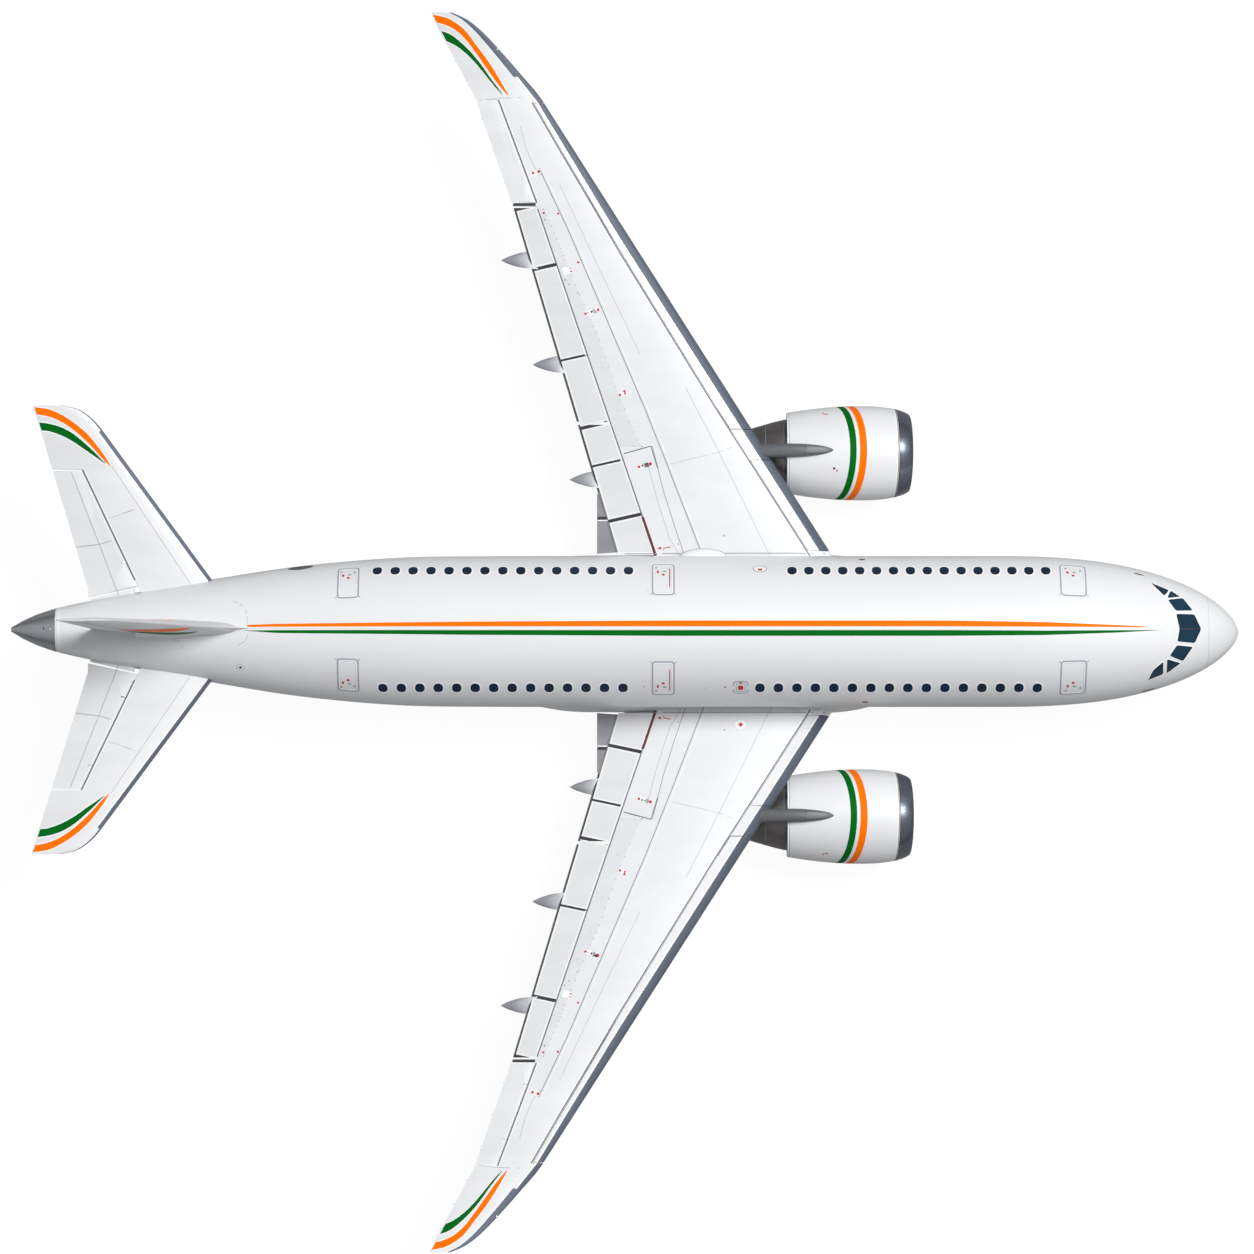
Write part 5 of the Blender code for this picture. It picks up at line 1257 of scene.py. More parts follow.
def build_hull_details():
    shell = Shell()
    for (px, py), (width, height), paint in HULL_DOTS:
        x, angle = hull_from_photo(px, py)
        hull_patch(shell, x, angle, oval(width, height, 12), paint)
    vent_x, vent_angle = hull_from_photo(300.5, 567.5)
    for k, (length, height, paint) in enumerate(VENT):
        hull_patch(shell, vent_x, vent_angle, oval(length, height, 20), paint, lift=0.003 + 0.003 * k)
    dot_x, dot_angle = hull_from_photo(240.6, 667.4)
    hull_line(shell, dot_x, dot_angle, oval(0.27, 0.27), 0.03, "fine_line", closed=True, lift=0.002)
    hull_line(shell, dot_x, dot_angle, oval(0.19, 0.19), 0.05, "white_trim", closed=True, lift=0.003)
    for path in HULL_LINES:
        shell.strip([hull_from_photo(*p) for p in path], on_hull, 0.022, "fine_line", lift=0.002)
    for x in HULL_JOINTS:
        ring = [(x, math.radians(a)) for a in spread(80, 280, 50)]
        shell.strip(ring, on_hull, 0.012, "joint_line", lift=0.0012)
    for x, width, paint in ((RADOME_X, 0.022, "joint_line"), (TAIL_CONE_X, 0.035, "seam"),
                            (TAIL_SEAM_X, 0.02, "seam")):
        shell.strip([(x, a) for a in around(72)], on_hull, width, paint, lift=0.004, closed=True)
    shell.strip([(TAIL_CONE_X + 0.16, a) for a in around(72)], on_hull, 0.05, "white_trim", closed=True)
    for angle in (-118, -92, 92, 118):  # lap joints under the windows
        path = [(x, math.radians(angle)) for x in spread(-9.5, 15.5, 26)]
        shell.strip(path, on_hull, 0.010, "joint_line", lift=0.0012)
    shell.build("hull_marks", "airframe", "hull_white")

    shell = Shell()
    for side in (1, -1):
        for x, degrees in PROBES:
            angle = math.radians(degrees) * side
            foot = on_hull(x, angle)
            out = normal_of(on_hull, x, angle)
            knee = foot + out * 0.15
            shell.tube([foot - out * 0.05, foot + out * 0.10, knee], [0.030, 0.022, 0.020], "steel",
                       sides=10)
            shell.tube([knee - Vector((0.02, 0, 0)), knee + Vector((0.16, 0, 0)),
                        knee + Vector((0.26, 0, 0))],
                       [0.018, 0.016, 0.009], "steel", sides=10)
    shell.build("nose_probes", "airframe", "hull_white")


BLISTER_AT = (2.92, 2.84, -0.35)
BLISTER_SIZE = (0.90, 0.34, 0.30)


def build_blister():
    """The white blister over the port wing's root."""
    shell = Shell()
    rings = []
    for k in range(1, 25):
        a = math.pi * k / 25
        ring = []
        for b in around(28):
            across = math.sin(a)
            ring.append((
                BLISTER_AT[0] - BLISTER_SIZE[0] * math.cos(a),
                BLISTER_AT[1] + BLISTER_SIZE[1] * across * math.sin(b),
                BLISTER_AT[2] + BLISTER_SIZE[2] * across * math.cos(b),
            ))
        rings.append(ring)
    shell.rows(rings, "blister_white", caps=True)
    rim = []
    for k in range(41):
        a = math.pi * k / 40
        rim.append((
            BLISTER_AT[0] - (BLISTER_SIZE[0] + 0.01) * math.cos(a),
            BLISTER_AT[1] + (BLISTER_SIZE[1] + 0.004) * math.sin(a), BLISTER_AT[2],
        ))
    # The grey ring round its foot is partly its outline and partly painted shadow under the dome
    shell.tube(rim, 0.014, "line_grey", sides=6)
    shell.build("root_blister", "airframe", "hull_white")


# Marks on the wings and the tail
WING_AXIS_PY = 624.5  # the wings' own centre line in the photograph


def wing_from_photo(px, py):
    """Place in plan of a pixel on the port wing or stabilizer, whose outlines were read this way too."""
    x = (px - ORIGIN_PX) / PIXELS_PER_METRE
    y = (WING_AXIS_PY - py) / PIXELS_PER_METRE
    return x, y


def ribbon(shell, left, right, shape, paint, lift=0.004, depth=0.004, sign=1, across=3):
    """A thin closed plate between two edges with as many points each."""
    rows = []
    for (a, b), (c, d) in zip(left, right):
        row = []
        for share in spread(0, 1, across):
            u, v = a + (c - a) * share, b + (d - b) * share
            row.append(shape(u, v) + normal_of(shape, u, v) * sign * lift)
        for share in spread(1, 0, across):
            u, v = a + (c - a) * share, b + (d - b) * share
            row.append(shape(u, v) - normal_of(shape, u, v) * sign * depth)
        rows.append(row)
    shell.rows(rows, paint, caps=True)


def curve_through(points, count):
    """Evenly shared points on a smooth curve through the given ones."""
    xs = [(k, p[0]) for k, p in enumerate(points)]
    ys = [(k, p[1]) for k, p in enumerate(points)]
    return [(smooth_table(xs, t), smooth_table(ys, t)) for t in spread(0, len(points) - 1, count)]


WINGTIP_STRIPES = (  # outer and inner edge of each stripe, in pixels of the photograph
    ("orange", (
        (433.2, 8.7), (445.4, 11.2), (455.6, 16.3), (465.8, 24.5), (476.0, 37.8), (486.2, 51.0),
        (496.4, 66.3), (508.2, 86.7),
    ), (
        (437.0, 16.1), (445.4, 18.4), (455.6, 23.5), (465.8, 32.7), (476.0, 45.9), (486.2, 60.2),
        (496.4, 74.5), (506.6, 86.7),
    )),
    ("green", (
        (441.2, 24.0), (450.5, 27.6), (460.7, 35.2), (470.9, 44.9), (481.1, 57.1), (491.3, 71.4),
        (503.1, 86.7),
    ), (
        (446.4, 33.9), (455.6, 38.3), (465.8, 45.9), (476.0, 56.1), (486.2, 68.4), (496.4, 80.6),
        (502.6, 86.7),
    )),
)
TAIL_STRIPES = (
    ("orange", (
        (37.0, 402.9), (51.9, 405.2), (64.6, 410.9), (77.4, 419.2), (90.2, 430.1), (99.1, 440.9),
        (106.7, 451.1), (112.9, 461.7),
    ), (
        (39.3, 410.0), (51.9, 412.5), (64.6, 418.0), (77.4, 426.9), (90.2, 438.4), (99.1, 447.9),
        (106.7, 456.2), (112.1, 461.7),
    )),
    ("green", (
        (41.6, 418.0), (51.9, 419.5), (64.6, 423.3), (77.4, 430.7), (90.2, 441.6), (99.1, 450.1),
        (107.4, 458.8),
    ), (
        (44.0, 426.0), (51.9, 426.9), (64.6, 431.4), (77.4, 438.4), (90.2, 447.3), (99.1, 453.4),
        (106.7, 459.0),
    )),
)
STRIPE_BORDER = 0.05


def on_plan(foil, x, y, side):
    """A point of a skin, kept just inside the surface's edges."""
    front, back = foil.le(y) - 0.01, foil.te(y) + 0.004
    return foil.at(min(max(x, back), front), y, side)


def tip_stripes(shell, foil, stripes):
    for side in (1, -1):
        def skin(x, y, side=side):
            return on_plan(foil, x, y, side)

        for paint, outer, inner in stripes:
            left = curve_through([wing_from_photo(*p) for p in outer], 30)
            right = curve_through([wing_from_photo(*p) for p in inner], 30)
            ribbon(shell, left, right, skin, paint, lift=0.006, sign=side, across=5)
            wide_left, wide_right = [], []
            for (a, b), (c, d) in zip(left, right):
                away = Vector((a - c, b - d)).normalized() * STRIPE_BORDER
                wide_left.append((a + away.x, b + away.y))
                wide_right.append((c - away.x, d - away.y))
            ribbon(shell, wide_left, wide_right, skin, "white_trim", lift=0.003, sign=side, across=5)


# Lines on the port wing: width, paint and path, in pixels of the photograph
WING_LINES = (
    (0.045, "line_grey", ((539.0, 160.0), (567.5, 220.0), (645.1, 400.0), (669.0, 460.0), (704.0, 550.0))),
    (0.022, "white_trim",
     ((541.8, 160.0), (570.3, 220.0), (647.9, 400.0), (671.8, 460.0), (706.8, 550.0))),
    (0.030, "line_grey", ((652.4, 437.0), (663.0, 480.0), (674.0, 515.0), (685.6, 549.0))),
    (0.020, "fine_line", ((647.0, 452.0), (658.0, 493.0), (670.0, 530.0), (681.5, 549.0))),
    (0.045, "seam", ((623.9, 444.5), (650.9, 437.2), (657.9, 458.9))),
    (0.018, "fine_line", ((686.0, 379.0), (719.0, 443.0), (774.0, 554.0))),
    (0.016, "fine_line", ((671.0, 455.0), (719.0, 443.5), (733.0, 438.0))),
    (0.016, "fine_line", ((560.0, 177.0), (600.0, 262.0), (640.0, 345.0))),
    (0.020, "fine_line", ((520.0, 118.0), (526.0, 140.0), (533.0, 157.0), (541.0, 167.0))),
    (0.022, "fine_line", ((478.5, 92.3), (494.5, 90.2), (520.5, 89.3))),
)
HINGE_BAND = (  # front edge of the paler band ahead of the spoilers' hinge
    (541.9, 198.0), (546.0, 206.0), (558.3, 234.7), (566.4, 255.0), (585.8, 300.0), (600.4, 333.9),
    (616.7, 379.8), (638.2, 431.8), (643.3, 438.0),
)
WING_PLATE = ((561.3, 259.5), (569.6, 257.6), (571.4, 264.0), (564.0, 266.5))  # corners of a white plate
WING_LABELS = (  # ends of white labels
    ((530.5, 166.0), (540.0, 162.6)), ((585.0, 304.9), (598.0, 301.0)), ((619.0, 386.5), (627.0, 383.0)),
    ((637.5, 458.6), (652.0, 454.6)),
)
WING_DOTS = (  # place, size, paint
    ((532.8, 164.6), 0.075, "red_mark"), ((538.4, 163.1), 0.085, "red_mark"),
    ((543.5, 204.4), 0.06, "red_mark"), ((544.7, 211.0), 0.05, "line_grey"),
    ((558.0, 204.9), 0.06, "red_mark"), ((578.2, 253.7), 0.06, "red_mark"),
    ((570.0, 259.5), 0.04, "red_mark"), ((570.9, 262.6), 0.05, "red_mark"),
    ((564.9, 271.0), 0.05, "line_grey"), ((569.0, 275.5), 0.04, "line_grey"),
    ((577.7, 284.5), 0.04, "line_grey"), ((585.5, 304.8), 0.07, "red_mark"),
    ((588.0, 304.0), 0.035, "dark_red"), ((591.4, 303.0), 0.06, "rubber_seal"),
    ((598.0, 301.0), 0.075, "red_mark"), ((620.1, 385.9), 0.07, "red_mark"),
    ((624.4, 382.3), 0.07, "red_mark"), ((625.1, 384.6), 0.06, "red_mark"),
    ((639.0, 457.8), 0.075, "red_mark"), ((642.4, 456.6), 0.055, "rubber_seal"),
    ((645.0, 456.0), 0.04, "dark_red"), ((650.5, 454.8), 0.085, "red_mark"),
    ((660.4, 539.0), 0.07, "red_mark"), ((658.6, 539.6), 0.04, "red_mark"),
    ((663.7, 540.6), 0.04, "line_grey"), ((724.7, 527.0), 0.04, "red_mark"),
    ((678.5, 535.2), 0.04, "line_grey"),
)


ROOT_LINE_Y = 3.05
EDGE_METAL = 0.40  # depth of the bare metal


def wing_path(points):
    return [wing_from_photo(*p) for p in points]


def band_edge():
    """The paler band's front edge and the hinge line behind it, point for point."""
    front = curve_through(wing_path(HINGE_BAND), 40)
    return front, [(line(SPOILER_HINGE, y) + 0.035, y) for _, y in front]


def add_edge_band(shell, low, high):
    """The painted part of the wing's edge behind its bare metal, above and below."""
    ys = spread(low, high, max(2, round((high - low) / 0.5)))
    for share, shape, sign in ((1.0, wing_top, 1), (0.53, wing_under, -1)):
        front, back = [], []
        for y in ys:
            depth = wing_depth(y)
            front.append((WING.le(y) - min(EDGE_METAL, depth * 0.6) * share, y))
            back.append((WING.le(y) - depth * share + 0.012, y))
        ribbon(shell, front, back, shape, "band_white", lift=0.003, depth=0.006, sign=sign)
        # The white line just behind the bare metal is a painted highlight along the border
        shell.strip([(x - 0.03, y) for x, y in front], shape, 0.06, "white_trim", lift=0.004, sign=sign)


def build_wing_marks():
    shell = Shell()
    tip_stripes(shell, WING, WINGTIP_STRIPES)
    for width, paint, path in WING_LINES:
        shell.strip(dense_path(wing_path(path), 0.8), wing_top, width, paint, lift=0.003)
    front, back = band_edge()
    ribbon(shell, front, back, wing_top, "band_white", lift=0.0018)
    for k, (x, y) in enumerate(front[2:-1]):
        shell.patch([(x + a, y + b) for a, b in oval(0.035, 0.05, 6)], wing_top, "line_grey", lift=0.004)
        if k % 4 == 1:
            at = (x - 0.24, y - 0.05)
            shell.patch([(at[0] + a, at[1] + b) for a, b in oval(0.05, 0.03, 6)], wing_top, "line_grey",
                        lift=0.004)
    for a, b in WING_LABELS:
        shell.strip(dense_path(wing_path((a, b)), 0.2), wing_top, 0.17, "white_trim", lift=0.005)
    shell.patch(wing_path(WING_PLATE), wing_top, "white_trim", lift=0.005)
    shell.strip(wing_path(((663.5, 539.2), (671.0, 537.9))), wing_top, 0.035, "red_mark", lift=0.005)
    for at, size, paint in WING_DOTS:
        x, y = wing_from_photo(*at)
        shell.patch([(x + a, y + b) for a, b in oval(size * 1.4, size * 1.4, 10)], wing_top, paint,
                    lift=0.008)
    hinge = [(line(SPOILER_HINGE, y) + 0.025, y) for y in spread(4.45, FLAP_END_Y - 0.1, 26)]
    shell.strip(hinge, wing_top, 0.05, "seam", lift=0.003)
    root = [(line(SPOILER_HINGE, y) + 0.04, y) for y in spread(2.98, 4.45, 5)]
    shell.strip(root, wing_top, 0.07, "dark_red", lift=0.003)
    # A black line in the hinge gap at the root: painted shade
    shell.strip([(x - 0.055, y) for x, y in root], wing_top, 0.04, "dark_gap", lift=0.004)
    edge = [(line(AILERON_HINGE, y) + 0.085, y) for y in spread(*AILERON_SPAN, 10)]
    shell.strip(edge, wing_top, 0.055, "seam", lift=0.003)
    # The white line beside the aileron's seam is a painted highlight of the lit edge
    shell.strip([(x + 0.06, y) for x, y in edge], wing_top, 0.04, "white_trim", lift=0.003)
    # Behind the slats: a dark seam, and a white line beside it that is a painted highlight
    for offset, width, paint in ((0.055, 0.055, "seam"), (0.105, 0.035, "white_trim")):
        path = [(WING.le(y) - wing_depth(y) - offset, y)
                for y in spread(SLATS[0][0] - 0.2, SLATS[1][1], 60)]
        shell.strip(path, wing_top, width, paint, lift=0.003)
    for start, end in ((-0.10, 1.15), (1.35, 7.6)):
        shell.strip([(x, ROOT_LINE_Y) for x in spread(start, end, 14)], wing_top, 0.04, "line_grey",
                    lift=0.004)
    # A black plate over the gap between the last spoiler and the aileron: painted shade
    gap_y = (FLAP_END_Y + AILERON_SPAN[0]) / 2
    path = [(x, gap_y) for x in spread(line(SPOILER_HINGE, gap_y), WING.te(gap_y) + 0.03, 8)]
    shell.strip(path, wing_top, AILERON_SPAN[0] - FLAP_END_Y - 0.02, "dark_gap", lift=0.003)
    for low, high in ((ROOT_Y + 0.03, SLATS[0][0]), (SLATS[0][1], SLATS[1][0]), (SLATS[1][1], 21.2)):
        add_edge_band(shell, low, high)
    build_both(shell, "wing_marks_{}", "airframe", "wing_grey")
    for name, (low, high) in (("inboard", SLATS[0]), ("outboard", SLATS[1])):
        shell = Shell()
        add_edge_band(shell, low + 0.03, high - 0.03)
        build_both(shell, f"slat_paint_{name}_" + "{}", f"slat_{name}_" + "{}", "wing_grey")

    shell = Shell()
    diamond = wing_from_photo(741.0, 2 * WING_AXIS_PY - 716.7)
    shell.patch([(diamond[0] + a, diamond[1] + b) for a, b in oval(0.42, 0.34, 18)], wing_top,
                "white_trim", lift=0.004)
    shell.patch([(diamond[0] + a, diamond[1] + b) for a, b in oval(0.19, 0.19, 4)], wing_top, "red_mark",
                lift=0.008)
    shell.build("fuel_mark_right", "airframe", "wing_grey", side=-1)


def dense_path(path, step):
    """An open path with more points along its long stretches; a path of two points also comes back."""
    return dense(path, step)[:-1] if len(path) < 3 else dense_open(path, step)


def dense_open(path, step):
    out = []
    for here, after in zip(path, path[1:]):
        count = max(1, math.ceil(math.dist(here, after) / step))
        out += [tuple(Vector(here).lerp(Vector(after), j / count)) for j in range(count)]
    return [*out, tuple(path[-1])]


def spoiler_corners(span, inset):
    """Corners in plan of a spoiler panel, moved inwards."""
    a, b = span
    out = []
    for y, share, way in ((a, 0.0, 1), (a, 1.0, 1), (b, 1.0, -1), (b, 0.0, -1)):
        lean = 0.0 if y == SPOILER_ENDS[0][0] else SPOILER_SLANT
        at = y - lean * (line(SPOILER_HINGE, y) - line(SPOILER_REAR, y)) * share + way * inset
        depth = line(SPOILER_HINGE, at) - line(SPOILER_REAR, at)
        front = line(SPOILER_HINGE, at) - inset * 1.3
        out.append((front - (depth - inset * 2.5) * share, at))
    return out


def build_spoiler_trim():
    shell = Shell()
    # White lines round each spoiler panel: painted highlights of their lit edges
    for span in SPOILER_ENDS:
        corners = spoiler_corners(span, 0.035)
        outline = dense(corners, 0.5)
        shell.strip(outline, wing_top, 0.040, "white_trim", lift=0.004, closed=True)
    build_both(shell, "spoiler_trim_{}", "spoilers_{}", "wing_grey")


TAIL_LINES = (
    (0.028, "fine_line", ((60.8, 431.4), (73.6, 467.7), (101.0, 538.5), (120.8, 590.8)), "elevator"),
    (0.036, "fine_line", ((78.0, 541.7), (101.0, 539.1), (113.3, 535.6)), "elevator"),
    (0.022, "fine_line", ((73.6, 467.0), (82.0, 465.8)), "airframe"),
    (0.022, "fine_line", ((113.8, 461.3), (142.0, 503.5), (192.2, 578.7)), "airframe"),
    (0.016, "fine_line", ((111.0, 513.5), (141.0, 503.0)), "airframe"),
)


def build_tail_marks():
    shell = Shell()
    tip_stripes(shell, STAB, TAIL_STRIPES)
    for width, paint, path, body in TAIL_LINES:
        if body == "airframe":
            shell.strip(dense_path(wing_path(path), 0.5), stab_top, width, paint, lift=0.003)
    seam = [(line(ELEVATOR_HINGE, y) + 0.075, y) for y in spread(1.9, ELEVATOR_END_Y, 12)]
    shell.strip(seam, stab_top, 0.06, "seam", lift=0.003)
    # The white line beside the elevator's seam is a painted highlight
    shell.strip([(x + 0.065, y) for x, y in seam], stab_top, 0.04, "white_trim", lift=0.003)
    ys = spread(1.5, 7.55, 16)
    # A dark band behind the leading edge: painted reflection of its bare metal
    shell.strip([(STAB.le(y) - 0.11, y) for y in ys], stab_top, 0.13, "edge_metal", lift=0.003)
    shell.strip([(STAB.le(y) - 0.215, y) for y in ys], stab_top, 0.06, "white_trim", lift=0.003)
    build_both(shell, "stabilizer_marks_{}", "airframe", "wing_grey")

    shell = Shell()
    for width, paint, path, body in TAIL_LINES:
        if body == "elevator":
            line_path = [p for p in dense_path(wing_path(path), 0.4) if p[1] < ELEVATOR_END_Y - 0.1]
            shell.strip(line_path, stab_top, width, paint, lift=0.006, depth=0.02)
    build_both(shell, "elevator_marks_{}", "elevator_{}", "wing_grey")


FIN_STRIPES = (  # two edges of each stripe on the fin: station and height
    ("orange", ((-16.45, 4.86), (-17.1, 5.32), (-17.8, 5.50), (-18.5, 5.36), (-19.05, 4.96)),
     ((-16.45, 4.80), (-17.1, 4.45), (-17.8, 4.30), (-18.5, 4.42), (-19.05, 4.88))),
    ("green", ((-16.2, 3.88), (-17.0, 3.98), (-17.7, 4.0), (-18.4, 3.98), (-18.85, 3.84)),
     ((-16.2, 3.82), (-17.0, 3.05), (-17.7, 2.72), (-18.4, 2.95), (-18.85, 3.72))),
)


def build_fin_marks():
    shell = Shell()
    for side in (1, -1):
        def skin(x, z, side=side):
            return on_plan(FIN, x, z, side)

        for paint, upper, lower in FIN_STRIPES:
            left, right = (curve_through(edge, 32)[8 if side > 0 else 0:] for edge in (upper, lower))
            ribbon(shell, left, right, skin, paint, lift=0.005, sign=-side, across=5)
        seam = [(line(RUDDER_HINGE, z) + 0.09, z) for z in spread(*RUDDER_SPAN, 12)]
        shell.strip(seam, skin, 0.04, "seam", lift=0.003, sign=-side)
    shell.build("fin_stripes", "airframe", "hull_white")


# Flaps with the track fairings under them
FLAP_SPANS = {"inboard": (3.07, 7.98), "outboard": (8.10, 16.24)}
FLAP_KINK = (5.40, -1.15)
FLAP_NOSE = 0.06
FLAP_DROP = 0.38
FLAP_ROOT = ((-1.15, 3.06), (2.00, 3.27))
SPOILER_SECTION = ((0.08, 0.055), (0.55, 0.050), (1.0, 0.016))  # share of depth, thickness
FLAP_ROOM = 0.012  # between a spoiler's underside and the flap
TRACKS = ((5.90, -2.20), (10.29, -3.62), (14.26, -4.82))  # span position, rear tip
TRACK_LENGTH = 4.3
TRACK_WIDTH = 0.35
TRACK_DEPTH = 0.62
TRACK_SHAPE = (  # share of length, of width, of depth
    (0.0, 0.02, 0.02), (0.06, 0.38, 0.30), (0.18, 0.82, 0.68), (0.34, 1.0, 0.95), (0.50, 1.0, 1.0),
    (0.66, 0.96, 0.86), (0.80, 0.78, 0.60), (0.92, 0.48, 0.30), (1.0, 0.12, 0.06),
)
FLAP_GAP_Y = 4.42
PIVOT_RADIUS = 0.32
PIVOT_ROOM = 0.03


def spoiler_point(share, y, drop):
    """A point this far under the spoilers' upper skin, at a share of their depth."""
    x = line(SPOILER_HINGE, y) - 0.008
    x += (line(SPOILER_REAR, y) - x) * share
    return Vector((x, y, wing_mid(y) + WING.half(x, y) - drop))


def flap_rear(y):
    return FLAP_KINK[1] if y < FLAP_KINK[0] else WING.te(y)


def flap_hinge(y):
    """The flaps' hinge line, and its lean in plan."""
    ends = []
    for at in (5.0, 16.0):
        x = line(SPOILER_HINGE, at)
        ends.append(Vector((x, at, wing_mid(at) - WING.half(x, at) - FLAP_DROP)))
    run = ends[1] - ends[0]
    return ends[0] + run * ((y - ends[0].y) / run.y), run.x / run.y


def track_row(y, tip_x, share):
    """A section of a track fairing; behind the flap it is round on top as well."""
    width = TRACK_WIDTH * smooth_table(column(TRACK_SHAPE, 1), share)
    depth = TRACK_DEPTH * smooth_table(column(TRACK_SHAPE, 2), share)
    x = tip_x + TRACK_LENGTH * share
    rear = flap_rear(y)
    inside = min(max((x - rear) / 0.9 + 1.0, 0.0), 1.0)
    inside = inside * inside * (3 - 2 * inside)
    skin = -WING.half(max(x, rear), y) * inside + 0.04 * inside - 0.02
    top = wing_mid(y) + skin - 0.16 * (1 - share) ** 2 * (1 - inside)
    dome = 0.55 * width * (1 - inside)
    ring = []
    for a in around(24):
        up = math.sin(a)
        ring.append(Vector((x, y + width * math.cos(a), top - depth * -up if up < 0 else top + dome * up)))
    return ring


def pivot_end(ring, y, room, flat):
    """The last section of a fairing, bent to a cylinder about the flap's hinge line."""
    centre, lean = flap_hinge(y)
    out = []
    for p in ring:
        reach = (PIVOT_RADIUS + room) ** 2 - (p.z - centre.z) ** 2
        ahead = max(math.sqrt(reach) if reach > 0 else 0.0, flat)
        out.append(Vector((centre.x + (p.y - y) * lean + ahead, p.y, p.z)))
    return out


def add_end_cap(shell, ring):
    """Closes a bent end with faces between its left and right points, which are level with each other."""
    first = shell.add(ring)
    count = len(ring)
    quarter = count // 4
    pairs = [((quarter - k) % count, (quarter + k) % count) for k in range(count // 2 + 1)]
    for (a, b), (c, d) in zip(pairs, pairs[1:]):
        corners = [first[a], first[c], first[d], first[b]]
        shell.face(list(dict.fromkeys(corners)), "fairing_silver")


def flap_top(x, y):
    """A point of the inboard flap's upper side, between the spoilers' rear edge and the flap's."""
    back = flap_rear(y)
    step = spoiler_point(1.0, y, 0.004) - Vector((0.017, 0, 0))
    sink = 0.03 * max(WING.te(y) - back, 0.0)
    rear = Vector((back, y, wing_mid(y) + WING.half(back, y) - sink))
    return step.lerp(rear, (step.x - x) / max(step.x - rear.x, 0.01))


def add_flap_marks(shell):
    """Painted shade on the inboard flap: the dark brown-grey rim behind the spoilers, and a black line
    across it under the gap between two spoilers, with a white line beside it as a painted highlight.
    """
    rim = [(line(SPOILER_REAR, y) - 0.055, y) for y in spread(3.12, 5.3, 14)]
    shell.strip(rim, flap_top, 0.07, "flap_edge", lift=0.004)
    for y, width, paint in ((FLAP_GAP_Y, 0.11, "dark_gap"), (FLAP_GAP_Y - 0.09, 0.04, "white_trim")):
        path = [(x, y) for x in spread(line(SPOILER_REAR, y) - 0.04, flap_rear(y) + 0.02, 6)]
        shell.strip(path, flap_top, width, paint, lift=0.005)


def build_flaps():
    for name, span in FLAP_SPANS.items():
        shell = Shell()
        ys = sorted({*span, FLAP_KINK[0], *[y for ends in SPOILER_ENDS for y in ends], *spread(*span, 12)})
        ys = [y for y in ys if span[0] <= y <= span[1]]
        rings = []
        for y in ys:
            nose, back, mid = line(SPOILER_HINGE, y) - FLAP_NOSE, flap_rear(y), wing_mid(y)
            sink = 0.03 * max(WING.te(y) - back, 0.0)
            step = spoiler_point(1.0, y, 0.004) - Vector((0.017, 0, 0))
            rear = Vector((back, y, mid + WING.half(back, y) - sink))
            upper = [rear, rear.lerp(step, 0.45), step]
            upper += [spoiler_point(share, y, deep + FLAP_ROOM) for share, deep in SPOILER_SECTION[::-1]]
            low = [
                Vector((x, y, mid - WING.half(x, y)))
                for x in (nose - 0.1, nose * 0.75 + back * 0.25, (nose + back) / 2,
                          nose / 6 + back * 5 / 6)
            ]
            low.append(Vector((back, y, mid - WING.half(back, y) - sink)))
            top_z, low_z = upper[-1].z, low[0].z
            front = [
                Vector((nose - 0.015 - 0.045 * (1 - math.sin(a)), y,
                        (top_z + low_z) / 2 + (top_z - low_z) / 2 * math.cos(a)))
                for a in (math.radians(d) for d in (35, 60, 90, 120, 145))
            ]
            ring = [*upper, *front, *low]
            if name == "inboard" and y == span[0]:
                (rear_x, rear_y), (front_x, front_y) = FLAP_ROOT
                for p in ring:
                    p.y = rear_y + (front_y - rear_y) * (p.x - rear_x) / (front_x - rear_x)
            rings.append(ring)

        # Painted shade on the flap's top: black under the spoilers, dark grey where the inboard flap lies
        # exposed, and elsewhere a dark brown-grey rim with a black line beside the spoilers
        def paint(i, j):
            if j < 2:
                inner = ys[i] < FLAP_KINK[0] and name == "inboard"
                return "flap_paint" if inner else "flap_edge" if j == 0 else "dark_gap"
            return "dark_gap" if j < 7 else "tail_paint"

        shell.rows(rings, paint, caps=True)
        if name == "inboard":
            add_flap_marks(shell)
        for y, tip_x in TRACKS:
            if not span[0] < y < span[1]:
                continue
            hinge_x = flap_hinge(y)[0].x
            last = (hinge_x - tip_x) / TRACK_LENGTH
            rows = [track_row(y, tip_x, share) for share in spread(0.0, last - 0.03, 20)]
            rows.append(pivot_end(track_row(y, tip_x, last), y, 0.0, -0.02))
            shell.rows(rows, "fairing_silver")
            shell.face(shell.add(rows[0]), "fairing_silver")
            add_end_cap(shell, rows[-1])
        build_both(shell, f"skin_flap_{name}_" + "{}", f"flap_{name}_" + "{}", "wing_grey",
                   [f"flap_{name}_" + "{}"])

    shell = Shell()
    for y, tip_x in TRACKS:
        hinge_x = flap_hinge(y)[0].x
        first = (hinge_x - tip_x) / TRACK_LENGTH
        rows = [pivot_end(track_row(y, tip_x, first), y, PIVOT_ROOM, 0.10)]
        rows += [track_row(y, tip_x, share) for share in spread(first + 0.12, 1.0, 14)]
        add_end_cap(shell, rows[0])
        shell.rows(rows, "fairing_silver")
        shell.face(shell.add(rows[-1]), "fairing_silver")
    build_both(shell, "track_fairing_fronts_{}", "airframe", "wing_grey")


# Engine marks
# The white rings beside the seams are painted highlights of their lit edges
COWL_RINGS = (  # station, width, paint
    (10.275, 0.030, "seam"), (10.235, 0.030, "white_trim"), (6.185, 0.045, "white_trim"),
    (6.225, 0.016, "seam"),
)


